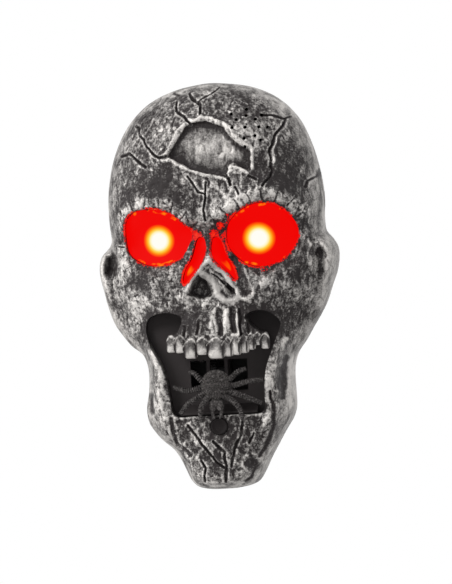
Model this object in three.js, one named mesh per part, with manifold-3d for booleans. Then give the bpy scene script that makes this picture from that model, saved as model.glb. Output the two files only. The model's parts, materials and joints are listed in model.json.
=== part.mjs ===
// Skull doorbell for a door or wall: a moulded skull with lit eyes, a push button under the lower
// lip, and a spider that a small motor pushes out of the mouth and draws back.
//
// Millimetres, +Z up. The wall is the plane y = 0 and the face looks along -Y. "Depth" is the
// distance from the wall towards the viewer, so a point at depth d has y = -d.

import * as THREE from 'three';
import { mergeVertices } from 'three/addons/utils/BufferGeometryUtils.js';
import Module from 'manifold-3d';

const wasm = await Module();
wasm.setup();

// Head

const headWidth = 148;
const headHeight = 248;
const faceDepth = 64;
const shellWall = 2.4;
const tubeWall = 1.8;
const clearance = 0.3;
const coreMargin = 5;
const overrun = 1;
const weld = 0.001;

const halfWidth = headWidth / 2;
const halfHeight = headHeight / 2;

// Outline of the head seen from the front, as shares of half the width and half the height: down
// the viewer's right, then up the left. The ears stick out a little above the middle.
const outlineShares = [
  [0, 1], [0.125, 0.995], [0.34, 0.972], [0.55, 0.911], [0.72, 0.805], [0.82, 0.67],
  [0.875, 0.54], [0.9, 0.42], [0.893, 0.31], [0.905, 0.245], [0.95, 0.215], [0.995, 0.165],
  [1, 0.12], [0.98, 0.05], [0.935, -0.02], [0.885, -0.1], [0.825, -0.165], [0.757, -0.228],
  [0.695, -0.288], [0.63, -0.34], [0.595, -0.4], [0.588, -0.47], [0.592, -0.55], [0.59, -0.61],
  [0.565, -0.66], [0.5, -0.72], [0.43, -0.79], [0.375, -0.845], [0.311, -0.919],
  [0.258, -0.967], [0.205, -0.985], [0.1, -0.998], [0, -1], [-0.12, -0.999],
  [-0.219, -0.985], [-0.276, -0.952], [-0.314, -0.902], [-0.352, -0.852], [-0.406, -0.8],
  [-0.503, -0.749], [-0.574, -0.697], [-0.61, -0.66], [-0.626, -0.59], [-0.605, -0.52],
  [-0.596, -0.45], [-0.6, -0.4], [-0.624, -0.345], [-0.66, -0.315], [-0.73, -0.285],
  [-0.807, -0.23], [-0.878, -0.165], [-0.92, -0.091], [-0.949, -0.013], [-0.976, 0.068],
  [-0.978, 0.12], [-0.955, 0.17], [-0.9, 0.205], [-0.872, 0.235], [-0.884, 0.315],
  [-0.892, 0.429], [-0.869, 0.553], [-0.807, 0.684], [-0.694, 0.809], [-0.526, 0.908],
  [-0.315, 0.968], [-0.085, 0.996],
];

// Tables down the face: the height as a share of half the height, then the share itself.
// Depth on the centre line, depth at the sides, and depth of the upright rim, all of faceDepth.
const centreDepthShares = [
  [-1, 0.64], [-0.8, 0.69], [-0.62, 0.75], [-0.45, 0.85], [-0.36, 0.88], [-0.25, 0.87],
  [-0.13, 0.83], [0, 0.8], [0.13, 0.8], [0.26, 0.79], [0.36, 0.89], [0.45, 0.91],
  [0.62, 0.9], [0.8, 0.87], [1, 0.8],
];
const sideDepthShares = [
  [-1, 0.56], [-0.8, 0.56], [-0.6, 0.52], [-0.35, 0.5], [-0.2, 0.46], [0, 0.42],
  [0.2, 0.44], [0.4, 0.64], [0.6, 0.7], [1, 0.68],
];
const rimDepthShares = [[-1, 0.3], [-0.5, 0.3], [-0.2, 0.2], [0.2, 0.18], [0.5, 0.12], [1, 0.12]];

// Half the head's width without the ears, and how far the edge is rounded over, of halfWidth.
const reachShares = [
  [-1, 0.24], [-0.95, 0.28], [-0.85, 0.38], [-0.72, 0.5], [-0.66, 0.57], [-0.5, 0.6],
  [-0.4, 0.61], [-0.3, 0.68], [-0.2, 0.76], [-0.1, 0.83], [0, 0.86], [0.2, 0.88],
  [0.42, 0.9], [0.54, 0.88], [0.67, 0.82], [0.8, 0.72], [0.91, 0.56], [1, 0.4],
];
const roundingShares = [
  [-1, 0.1], [-0.9, 0.12], [-0.6, 0.14], [-0.35, 0.16], [-0.2, 0.2], [0, 0.18],
  [0.15, 0.13], [0.24, 0.18], [0.35, 0.34], [0.6, 0.5], [1, 0.6],
];
const archPower = 2.2;

// Bones that stand out of the face and hollows between them. Each follows a line of points, as
// shares of halfWidth and halfHeight; its radius is a share of halfWidth and its rise, which is
// negative for a hollow, a share of faceDepth.
const boneShares = [
  // brow ridges
  {
    line: [[-0.74, 0.39], [-0.6, 0.43], [-0.4, 0.445], [-0.24, 0.42], [-0.12, 0.35]],
    radius: 0.1, rise: 0.07,
  },
  { line: [[0.8, 0.39], [0.66, 0.44], [0.49, 0.455], [0.32, 0.42], [0.15, 0.35]], radius: 0.1, rise: 0.07 },
  // outer rims and floors of the sockets
  {
    line: [[-0.77, 0.3], [-0.77, 0.2], [-0.68, 0.1], [-0.46, 0.05], [-0.27, 0.07]],
    radius: 0.09, rise: 0.05,
  },
  { line: [[0.8, 0.3], [0.79, 0.2], [0.71, 0.09], [0.46, 0.03], [0.28, 0.06]], radius: 0.09, rise: 0.05 },
  // bridge of the nose and the pale lip that forks from its tip
  { line: [[0, 0.3], [0.01, 0.22], [0.018, 0.135]], radius: 0.1, rise: 0.07 },
  { line: [[0.018, 0.135], [-0.08, 0.07], [-0.17, 0.005], [-0.22, -0.05]], radius: 0.07, rise: 0.055 },
  { line: [[0.018, 0.135], [0.12, 0.075], [0.23, 0.005], [0.3, -0.06]], radius: 0.07, rise: 0.055 },
  // cheekbones, and the hollows under them
  { line: [[-0.42, -0.02], [-0.62, -0.02], [-0.8, 0.08]], radius: 0.16, rise: 0.09 },
  { line: [[0.45, -0.04], [0.64, -0.03], [0.82, 0.08]], radius: 0.16, rise: 0.09 },
  { line: [[-0.62, -0.17], [-0.72, -0.14]], radius: 0.13, rise: -0.04 },
  { line: [[0.64, -0.17], [0.72, -0.14]], radius: 0.13, rise: -0.04 },
  // upper jaw above the teeth
  { line: [[-0.32, -0.2], [0.03, -0.22], [0.36, -0.2]], radius: 0.2, rise: 0.05 },
  // upright rails of the lower jaw, beside the mouth
  { line: [[-0.52, -0.3], [-0.5, -0.45], [-0.48, -0.6], [-0.42, -0.7]], radius: 0.08, rise: 0.09 },
  { line: [[0.53, -0.32], [0.49, -0.45], [0.48, -0.6], [0.42, -0.7]], radius: 0.08, rise: 0.09 },
  // long hollow down the right rail and the short one at the left corner of the jaw
  { line: [[0.55, -0.45], [0.545, -0.56]], radius: 0.035, rise: -0.06 },
  { line: [[-0.57, -0.56], [-0.57, -0.61]], radius: 0.035, rise: -0.04 },
  // chin
  { line: [[-0.1, -0.88], [0.14, -0.88]], radius: 0.2, rise: 0.03 },
  // rims and hollows of the ears
  { line: [[-0.93, 0.17], [-0.96, 0.08], [-0.91, -0.05]], radius: 0.05, rise: 0.12 },
  { line: [[0.94, 0.19], [0.98, 0.12], [0.94, 0]], radius: 0.05, rise: 0.12 },
  { line: [[-0.85, 0.15], [-0.86, 0.1]], radius: 0.06, rise: -0.14 },
  { line: [[0.88, 0.14], [0.88, 0.06]], radius: 0.05, rise: -0.08 },
];

// Openings in the face, as shares of halfWidth and halfHeight.
const leftSocketShares = [
  [-0.703, 0.246], [-0.687, 0.334], [-0.617, 0.377], [-0.508, 0.389], [-0.399, 0.386],
  [-0.301, 0.364], [-0.212, 0.322], [-0.15, 0.27], [-0.163, 0.192], [-0.226, 0.144],
  [-0.32, 0.117], [-0.463, 0.106], [-0.586, 0.129], [-0.675, 0.171],
];
const rightSocketShares = [
  [0.15, 0.235], [0.172, 0.297], [0.25, 0.349], [0.353, 0.386], [0.454, 0.398],
  [0.57, 0.385], [0.651, 0.348], [0.714, 0.297], [0.735, 0.237], [0.697, 0.179],
  [0.643, 0.136], [0.566, 0.103], [0.43, 0.082], [0.306, 0.1], [0.217, 0.142], [0.165, 0.185],
];
const leftWedgeShares = [
  [-0.07, 0.232], [-0.035, 0.23], [-0.022, 0.17], [-0.05, 0.125], [-0.13, 0.07],
  [-0.205, 0.02], [-0.19, 0.075], [-0.13, 0.14],
];
const rightWedgeShares = [
  [0.055, 0.232], [0.09, 0.228], [0.14, 0.15], [0.19, 0.09], [0.222, 0.03],
  [0.15, 0.075], [0.07, 0.125], [0.042, 0.17],
];
// The mouth wraps round the upper jaw, which hangs into it with the teeth along its lower edge.
const mouthLeftShares = [
  [-0.2, -0.636], [-0.33, -0.636], [-0.365, -0.62], [-0.385, -0.55], [-0.405, -0.45],
  [-0.45, -0.37], [-0.52, -0.29], [-0.565, -0.21], [-0.545, -0.155], [-0.46, -0.127],
  [-0.33, -0.125],
];
const upperJawShares = [
  [-0.24, -0.15], [-0.27, -0.215], [-0.35, -0.25], [-0.37, -0.31], [-0.19, -0.34],
  [0.04, -0.36], [0.25, -0.345], [0.45, -0.305], [0.45, -0.255], [0.35, -0.215], [0.28, -0.155],
];
const mouthRightShares = [
  [0.36, -0.13], [0.47, -0.137], [0.555, -0.19], [0.53, -0.25], [0.49, -0.32],
  [0.435, -0.4], [0.405, -0.5], [0.395, -0.615], [0.36, -0.632], [0.2, -0.634], [0.02, -0.636],
];
const foreheadHoleShares = [
  [-0.157, 0.795], [-0.013, 0.816], [0.185, 0.776], [0.23, 0.71], [0.393, 0.662],
  [0.385, 0.553], [0.199, 0.529], [0.008, 0.548], [-0.182, 0.578], [-0.302, 0.641],
];
const leftNostrilShares = [[-0.05, 0.055], [-0.13, 0], [-0.14, -0.045], [-0.06, -0.045], [-0.015, 0.01]];
const rightNostrilShares = [[0.08, 0.06], [0.045, 0], [0.1, -0.04], [0.22, -0.045], [0.2, 0.01]];
const foreheadDrop = 5;
const nostrilDrop = 7;

// Sound holes over the speaker.
const soundHoleShares = [
  [0.349, 0.856], [0.232, 0.835], [0.351, 0.825], [0.466, 0.826], [0.276, 0.807],
  [0.424, 0.806], [0.246, 0.768], [0.347, 0.768], [0.454, 0.767], [0.519, 0.763],
  [0.426, 0.724], [0.342, 0.713], [0.468, 0.701], [0.35, 0.671],
];
const soundHoleRadius = 1;

// Teeth: middle and lower edge as shares of halfWidth and halfHeight, width as a share of halfWidth.
const toothShares = [
  [-0.33, -0.318, 0.08], [-0.255, -0.326, 0.075], [-0.17, -0.348, 0.1], [-0.07, -0.345, 0.09],
  [0.04, -0.36, 0.125], [0.13, -0.355, 0.07], [0.19, -0.348, 0.06], [0.245, -0.34, 0.06],
  [0.3, -0.328, 0.06], [0.358, -0.305, 0.06], [0.42, -0.315, 0.06],
];
const toothHeight = 10;
const toothThickness = 5;

// Eye and nose lenses with the light cups behind them

const lensDepth = 30;
const lensWall = 1.6;
const lensDrop = 4;
const lightCupBack = 20.6;
const noseLensDepth = 40;
const ledRadius = 2.5;
const ledLength = 5;
const ledFlangeRadius = 2.9;
const ledFlangeHeight = 1;
const leftLedShares = [-0.419, 0.232];
const rightLedShares = [0.409, 0.223];

// Back cover with the battery tray

const coverThickness = 3;
const coverMargin = 0.3;
const cellRadius = 7.25;
const cellLength = 49.2;
const cellButtonRadius = 2.6;
const cellButtonHeight = 1.3;
const cellPitch = 15.1;
const cellCount = 3;
const trayWall = 1.8;
const trayEndWall = 9;
const trayMiddle = 62;
const contactThickness = 0.6;
const contactRoom = 2.2;
const contactReach = 5;
const springBase = 3.6;
const springTip = 1.8;
const doorThickness = 2.4;
const doorLedge = 1.4;
const doorScrewSeat = 0.6;
const doorGrooves = 5;
const doorGroovePitch = 3;
const doorGrooveWidth = 1.2;
const doorGrooveDepth = 0.6;
const doorGrooveReach = 9;

// Keyhole that hangs the doorbell on a screw
const hangerHeight = 104;
const hangerHeadRadius = 4.2;
const hangerSlotRadius = 2.2;
const hangerSlotLength = 7;

// Screws
const screwShankRadius = 1.4;
const screwHeadRadius = 2.7;
const screwHeadHeight = 1.3;
const caseScrewLength = 11;
const coverScrewSeat = 1.2;
const postRadius = 3.8;
const caseScrewShares = [[-0.675, 0.605], [0.675, 0.605], [-0.7, -0.1], [0.7, -0.1], [0.03, -0.87]];
const doorScrewLength = 8;
const mechanismScrewLength = 9;
const mechanismScrewShares = [[-0.35, -0.09], [0.37, -0.09], [-0.27, -0.675], [0.29, -0.675]];

// Off/on slide switch
const powerSwitchX = 38;
const powerSwitchZ = 0;
const powerSlotWidth = 3.6;
const powerSlotLength = 8;
const powerKnobLength = 3.4;
const powerKnobHeight = 2.6;
const powerBodyWidth = 7;
const powerBodyLength = 14;
const powerBodyHeight = 5;

// Circuit board

const boardWidth = 52;
const boardTop = 20;
const boardBottom = -24;
const boardDepth = 10;
const boardThickness = 1.6;
const boardPostRadius = 2.4;
const boardPostShares = [[-0.28, 0.12], [0.28, 0.12], [-0.28, -0.15], [0.28, -0.15]];
const chipSize = 8;
const chipHeight = 1.8;
const chipX = -8;
const chipZ = 4;
const capacitorRadius = 3;
const capacitorHeight = 7;
const capacitorX = 12;
const capacitorZ = 6;

// Speaker

const speakerRadius = 13;
const speakerX = 25;
const speakerZ = 92;
const speakerBack = 20;
const speakerHeight = 10;
const speakerFlange = 1.6;
const speakerMagnetRadius = 7;
const speakerMagnetHeight = 3.6;
const speakerConeDrop = 4;
const speakerRingGrip = 4;
const speakerSides = 18;

// Push button under the lower lip

const buttonRadius = 5.2;
const buttonShares = [0.0189, -0.6887];
const buttonLength = 11;
const buttonProud = 0.8;
const buttonTravel = 1.6;
const buttonEarReach = 6.4;
const buttonEarHeight = 4;
const buttonEarThickness = 1.6;
const buttonStemRadius = 1.8;
const buttonStemLength = 1.6;
const pushSwitchSize = 6;
const pushSwitchHeight = 3.4;
const pushSwitchBoardWidth = 24;
const pushSwitchBoardHeight = 9;
const pushSwitchPlungerRadius = 1.6;
const pushSwitchPlungerLength = 2;
const buttonPostRadius = 2.2;
const buttonPostSpread = 9.4;

// Mechanism that moves the spider

const gearModule = 0.8;
const driveTeeth = 20;
const armPinionTeeth = 12;
const motorPinionTeeth = 8;
const backlash = 0.3;
const rootClearance = 0.25;
const toothTipShare = 0.5;
const toothRootShare = 1.4;
const gearWidth = 3;
const armPinionWidth = 5;
const axleRadius = 1.2;
const gearDepth = 22;
const mechanismX = 1;
const armPitchZ = -56;
const armWidth = 4.8;
const armHeight = 3;
const armTail = 1.8;
const armTeethEnd = 25;
const armFront = 36.4;
const armPinRadius = 1.5;
const armPinLength = 4;
const spiderTravel = 14;
const motorEndRoom = 2.7;
const motorWidth = 12;
const motorHeight = 15;
const motorShaftRadius = 0.9;
const motorBearing = 2;
const clampThickness = 1.4;
const leadHoleRadius = 1.6;
const motorLeadInset = 3.8;
const motorLeadDepth = 13.2;
const jawRoom = 13.6;
const housingTop = -29;
const housingBottom = -76;
const housingWall = 2;
const cheekBack = 9;
const axleBlind = 0.8;
const linerDepth = 34;
const linerThickness = 1.8;
const windowHalfWidth = 17.5;
const windowTop = -45;
const windowBottom = -64;
const cheekThickness = 2;
const mechanismCoverThickness = 2;
const mouthFloorHalfWidth = 23.4;
const mouthFloorRise = 7;
const mouthFloorLip = 1.2;
const mouthFloorReach = 8;
const screwEarRadius = 4.4;

// Spider

const spiderZ = -60.2;
const spiderDepth = 50;
const abdomenRadius = 8;
const spiderHeadRadius = 3.9;
const legRadius = 1.4;
const legSides = 5;
const legSteps = 5;
const fangRadius = 0.9;
const fangLength = 5;
const fangSpread = 2.3;
const fangSteps = 3;
const abdomenRings = 8;
const headRings = 6;
const headDropShare = 1.45;
// Legs on the viewer's left and right, from the body outwards: x and z as shares of the abdomen's
// radius from its middle, and depth as a share of that radius in front of its middle.
const legShares = [
  [[-0.6, 0.1, -0.2], [-1.15, 0.45, 0.1], [-1.6, 0.95, 0.15], [-1.95, 1.05, -0.1]],
  [[-0.7, -0.1, -0.1], [-1.3, -0.2, 0.2], [-2.2, -0.35, 0.25], [-3.25, -0.05, -0.3]],
  [[-0.7, -0.45, 0.1], [-1.3, -0.85, 0.35], [-2.1, -1.3, 0.35], [-2.8, -2.05, -0.05]],
  [[-0.4, -0.7, 0.2], [-0.85, -1.2, 0.5], [-1.22, -1.9, 0.45], [-1.2, -2.75, 0.2]],
  [[0.6, 0.1, -0.2], [1.15, 0.45, 0.1], [1.75, 0.95, 0.15], [2.3, 1.15, -0.1]],
  [[0.7, -0.1, -0.1], [1.3, -0.1, 0.2], [2.4, 0.15, 0.25], [3.5, 0.25, -0.3]],
  [[0.7, -0.45, 0.1], [1.3, -0.6, 0.35], [2.3, -1, 0.35], [3.4, -1.5, -0.05]],
  [[0.4, -0.7, 0.2], [1.1, -1.1, 0.5], [1.75, -1.8, 0.45], [1.95, -2.75, 0.2]],
];

// Leads inside the case
const leadRadius = 0.8;
const leadSides = 5;
const leadSteps = 7;

// Counts of the face's mesh: points round the outline and rings from the edge inwards.
const outlineSteps = 60;
const openingSteps = 18;
const mouthSteps = 44;
const nostrilSteps = 10;
const soundHoleSides = 5;
const toothSides = 8;
const toothRings = 5;
const coreSamples = 8;
const roundSides = 14;
const holeSides = 8;
const smallSides = 8;
const screwSides = 6;
const faceRingShares = [1, 0.975, 0.93, 0.86, 0.76, 0.65, 0.54, 0.43, 0.3, 0.15];
const coreRingShares = [1, 0.88, 0.66, 0.36];
const lensRingShares = [1, 0.82, 0.42];

// Curves and distances

// A table's value at a height, on a smooth curve through its rows.
function smoothAt(table, height) {
  const last = table.length - 1;
  if (height <= table[0][0]) return table[0][1];
  if (height >= table[last][0]) return table[last][1];
  const next = table.findIndex(([at]) => at > height);
  const [low, start] = table[next - 1];
  const [high, end] = table[next];
  const slopeBetween = (from, to) => (table[to][1] - table[from][1]) / (table[to][0] - table[from][0]);
  const startSlope = slopeBetween(Math.max(next - 2, 0), next) * (high - low);
  const endSlope = slopeBetween(next - 1, Math.min(next + 1, last)) * (high - low);
  const t = (height - low) / (high - low);
  const rest = 1 - t;
  const bend = rest * startSlope - t * endSlope;
  return start * rest * rest * (1 + 2 * t) + end * t * t * (3 - 2 * t) + t * rest * bend;
}

function placeOf([u, v]) {
  return new THREE.Vector2(u * halfWidth, v * halfHeight);
}

// Points at equal steps along a smooth closed curve, anticlockwise seen from the front.
function closedCurve(shares, steps) {
  const knots = shares.map((share) => new THREE.Vector3(placeOf(share).x, placeOf(share).y, 0));
  const curve = new THREE.CatmullRomCurve3(knots, true, 'centripetal');
  const points = curve.getSpacedPoints(steps).slice(0, -1).map(({ x, y }) => new THREE.Vector2(x, y));
  return THREE.ShapeUtils.isClockWise(points) ? points.reverse() : points;
}

// The same outline grown by a distance, or drawn in where the distance is negative.
function grown(points, distance) {
  return points.map((point, i) => {
    const along = points[(i + 1) % points.length].clone().sub(points.at(i - 1)).normalize();
    return new THREE.Vector2(point.x + along.y * distance, point.y - along.x * distance);
  });
}

function distanceToLine(x, z, points, closed) {
  let least = Infinity;
  for (let i = closed ? 0 : 1; i < points.length; i += 1) {
    const start = points.at(i - 1);
    const end = points[i];
    const dx = end.x - start.x;
    const dz = end.y - start.y;
    const along = ((x - start.x) * dx + (z - start.y) * dz) / (dx * dx + dz * dz);
    const t = Math.min(Math.max(along, 0), 1);
    least = Math.min(least, Math.hypot(x - start.x - t * dx, z - start.y - t * dz));
  }
  return least;
}

// Shape of the face

const outline = closedCurve(outlineShares, outlineSteps);
const bones = boneShares.map(({ line, radius, rise }) => ({ line: line.map(placeOf), radius, rise }));

// Depth of the face's outer surface at a point seen from the front.
function faceDepthAt(x, z) {
  const height = z / halfHeight;
  const across = Math.min(Math.abs(x) / (smoothAt(reachShares, height) * halfWidth), 1);
  const centre = smoothAt(centreDepthShares, height);
  const side = smoothAt(sideDepthShares, height);
  let share = side + (centre - side) * (1 - across ** archPower);
  for (const { line, radius, rise } of bones) {
    const away = distanceToLine(x, z, line, false) / (radius * halfWidth);
    share += rise * Math.exp(-away * away);
  }
  const rounding = smoothAt(roundingShares, height) * halfWidth;
  const inwards = Math.min(distanceToLine(x, z, outline, true) / rounding, 1);
  const rim = smoothAt(rimDepthShares, height);
  return faceDepth * (rim + (share - rim) * Math.sqrt(1 - (1 - inwards) ** 2));
}

// Depth of the hollow behind the face: a wall's thickness below the lowest surface nearby.
function coreDepthAt(x, z) {
  const reach = Math.min(coreMargin, distanceToLine(x, z, outline, true));
  let depth = faceDepthAt(x, z);
  for (let i = 0; i < coreSamples; i += 1) {
    const turn = (i / coreSamples) * Math.PI * 2;
    depth = Math.min(depth, faceDepthAt(x + reach * Math.cos(turn), z + reach * Math.sin(turn)));
  }
  return depth - shellWall;
}

// Solids

function solidOf(geometry) {
  const bare = geometry.clone();
  bare.deleteAttribute('normal');
  bare.deleteAttribute('uv');
  const merged = mergeVertices(bare, weld);
  const corners = [];
  for (let i = 0; i < merged.index.count; i += 3) {
    const [a, b, c] = [merged.index.getX(i), merged.index.getX(i + 1), merged.index.getX(i + 2)];
    if (a !== b && b !== c && c !== a) corners.push(a, b, c);
  }
  const vertProperties = Float32Array.from(merged.attributes.position.array);
  const triVerts = Uint32Array.from(corners);
  return new wasm.Manifold(new wasm.Mesh({ numProp: 3, vertProperties, triVerts }));
}

function joined(solids) {
  return solids.reduce((sum, solid) => sum.add(solid));
}

// A prism of an outline seen from the front, between two depths.
function prism(points, near, far) {
  const shape = new THREE.Shape(points);
  const geometry = new THREE.ExtrudeGeometry(shape, { depth: far - near, bevelEnabled: false, steps: 1 });
  return solidOf(geometry.rotateX(Math.PI / 2).translate(0, -near, 0));
}

// A prism of an outline seen from the side, given as depth and height, from one x to another.
function sidePrism(points, fromX, toX) {
  const shape = new THREE.Shape(points.map(([depth, z]) => new THREE.Vector2(-z, -depth)));
  const geometry = new THREE.ExtrudeGeometry(shape, { depth: toX - fromX, bevelEnabled: false, steps: 1 });
  return solidOf(geometry.rotateY(Math.PI / 2).translate(fromX, 0, 0));
}

function block(fromX, toX, near, far, fromZ, toZ) {
  const geometry = new THREE.BoxGeometry(toX - fromX, far - near, toZ - fromZ);
  return solidOf(geometry.translate((fromX + toX) / 2, -(near + far) / 2, (fromZ + toZ) / 2));
}

// A round bar that runs from the wall towards the viewer.
function rod(x, z, near, far, radius, sides = roundSides) {
  const geometry = new THREE.CylinderGeometry(radius, radius, far - near, sides);
  return solidOf(geometry.translate(x, -(near + far) / 2, z));
}

// A round bar across the head.
function crossBar(fromX, toX, depth, z, radius, sides = roundSides) {
  const geometry = new THREE.CylinderGeometry(radius, radius, toX - fromX, sides);
  return solidOf(geometry.rotateZ(Math.PI / 2).translate((fromX + toX) / 2, -depth, z));
}

// A turned piece on an axis towards the viewer, from radius and depth pairs.
function turned(x, z, profile, sides = roundSides) {
  const points = profile.map(([radius, depth]) => new THREE.Vector2(radius, -depth));
  return solidOf(new THREE.LatheGeometry(points.reverse(), sides).translate(x, 0, z));
}

// A round tube along a smooth route of x, depth and z.
function tubeAlong(route, radius, sides, steps) {
  const curve = new THREE.CatmullRomCurve3(route.map(([x, depth, z]) => new THREE.Vector3(x, -depth, z)));
  const section = new THREE.Shape();
  for (let i = 0; i < sides; i += 1) {
    const turn = (i / sides) * Math.PI * 2;
    const corner = [radius * Math.cos(turn), radius * Math.sin(turn)];
    if (i === 0) section.moveTo(...corner);
    else section.lineTo(...corner);
  }
  section.closePath();
  return solidOf(new THREE.ExtrudeGeometry(section, { extrudePath: curve, steps, bevelEnabled: false }));
}

// A solid with a flat back and a curved front: rings of the outline, drawn in to its middle, each
// raised to the depth that depthAt gives for the place and the ring's share.
function domed(edge, middle, ringShares, depthAt, back) {
  const positions = [];
  const corners = [];
  const count = edge.length;
  const addRing = (share, depthOf) => {
    for (const point of edge) {
      const x = middle.x + (point.x - middle.x) * share;
      const z = middle.y + (point.y - middle.y) * share;
      positions.push(x, -depthOf(x, z, share), z);
    }
  };
  addRing(1, () => back);
  for (const share of ringShares) addRing(share, depthAt);
  positions.push(middle.x, -back, middle.y, middle.x, -depthAt(middle.x, middle.y, 0), middle.y);
  const backMiddle = count * (ringShares.length + 1);
  const lastRing = count * ringShares.length;
  for (let i = 0; i < count; i += 1) {
    const next = (i + 1) % count;
    for (let ring = 0; ring < ringShares.length; ring += 1) {
      const outer = count * ring;
      const inner = outer + count;
      corners.push(outer + i, outer + next, inner + next, outer + i, inner + next, inner + i);
    }
    corners.push(lastRing + i, lastRing + next, backMiddle + 1, backMiddle, next, i);
  }
  const geometry = new THREE.BufferGeometry();
  geometry.setAttribute('position', new THREE.Float32BufferAttribute(positions, 3));
  geometry.setIndex(corners);
  return solidOf(geometry);
}

function middleOf(points) {
  const sum = points.reduce((total, point) => total.add(point), new THREE.Vector2());
  return sum.divideScalar(points.length);
}

// The finished part

const doorbell = new THREE.Group();

const finishes = {
  silveredPlastic: { color: 0x6f6d6b, roughness: 0.6, metalness: 0.35 },
  blackPlastic: { color: 0x1c1a19, roughness: 0.7, metalness: 0 },
  redPlastic: { color: 0xd81008, roughness: 0.35, metalness: 0 },
  whitePlastic: { color: 0xe6e4de, roughness: 0.5, metalness: 0 },
  spiderRubber: { color: 0x2d2a28, roughness: 0.8, metalness: 0 },
  zincSteel: { color: 0xb4b4b0, roughness: 0.35, metalness: 1 },
  springSteel: { color: 0xc9c6bc, roughness: 0.3, metalness: 1 },
  boardLaminate: { color: 0x1f5a34, roughness: 0.5, metalness: 0 },
  cellJacket: { color: 0x34383c, roughness: 0.4, metalness: 0.4 },
  speakerPaper: { color: 0x2a2a2c, roughness: 0.9, metalness: 0 },
  redLead: { color: 0xa81c14, roughness: 0.5, metalness: 0 },
};

function addPiece(name, finish, solid) {
  const { vertProperties, triVerts } = solid.getMesh();
  const geometry = new THREE.BufferGeometry();
  geometry.setAttribute('position', new THREE.BufferAttribute(Float32Array.from(vertProperties), 3));
  geometry.setIndex(new THREE.BufferAttribute(Uint32Array.from(triVerts), 1));
  geometry.computeVertexNormals();
  const mesh = new THREE.Mesh(geometry, new THREE.MeshStandardMaterial(finishes[finish]));
  mesh.name = name;
  doorbell.add(mesh);
}

// A screw whose head faces the wall: the head's back depth and the shank's length towards the viewer.
function screwAt([x, z], headBack, length) {
  const headFront = headBack + screwHeadHeight;
  return turned(x, z, [
    [0, headBack], [screwHeadRadius, headBack], [screwHeadRadius, headFront],
    [screwShankRadius, headFront], [screwShankRadius, headFront + length], [0, headFront + length],
  ], screwSides);
}

const faceMiddle = new THREE.Vector2(0, 0);
const beyond = faceDepth + faceDepth;
const lensSeat = lensDepth + lensWall + clearance;
const noseSeat = noseLensDepth + lensWall + clearance;
const linerSeat = linerDepth + clearance;
const leftSocket = closedCurve(leftSocketShares, openingSteps);
const rightSocket = closedCurve(rightSocketShares, openingSteps);
const leftWedge = closedCurve(leftWedgeShares, openingSteps);
const rightWedge = closedCurve(rightWedgeShares, openingSteps);
const mouth = closedCurve([...mouthLeftShares, ...upperJawShares, ...mouthRightShares], mouthSteps);
const mouthSurround = closedCurve([...mouthLeftShares, ...mouthRightShares], mouthSteps);
const caseScrewPlaces = caseScrewShares.map(placeOf).map(({ x, y }) => [x, y]);
const mechanismScrewPlaces = mechanismScrewShares.map(placeOf).map(({ x, y }) => [x, y]);
const caseScrewHeadBack = coverThickness - coverScrewSeat - clearance - screwHeadHeight;
const linerBack = linerDepth - linerThickness;

// The housing fits between the jaw's sides, measured where the jaw is narrowest.
const jawHalfWidth = Math.min(...outline
  .filter(({ y }) => y > housingBottom && y < housingTop)
  .map(({ x }) => Math.abs(x)));
const housingHalfWidth = jawHalfWidth - jawRoom;

// Front of the button, which stands a little proud of the chin.
const { x: buttonX, y: buttonZ } = placeOf(buttonShares);
const buttonFront = faceDepthAt(buttonX, buttonZ) + buttonProud;
const buttonBack = buttonFront - buttonLength;
const buttonStemBack = buttonBack - buttonStemLength;
const plungerFront = buttonStemBack - buttonTravel - clearance;
const pushSwitchBack = plungerFront - pushSwitchPlungerLength - pushSwitchHeight;
const pushBoardBack = pushSwitchBack - boardThickness;
const speakerFront = speakerBack + speakerHeight;

// A round post behind the face that ends inside its wall.
function postInto([x, z], near, radius) {
  const around = [0, 1, 2, 3].map((quarter) => (quarter * Math.PI) / 2)
    .map((turn) => faceDepthAt(x + radius * Math.cos(turn), z + radius * Math.sin(turn)));
  return rod(x, z, near, Math.max(...around), radius, holeSides);
}

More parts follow.
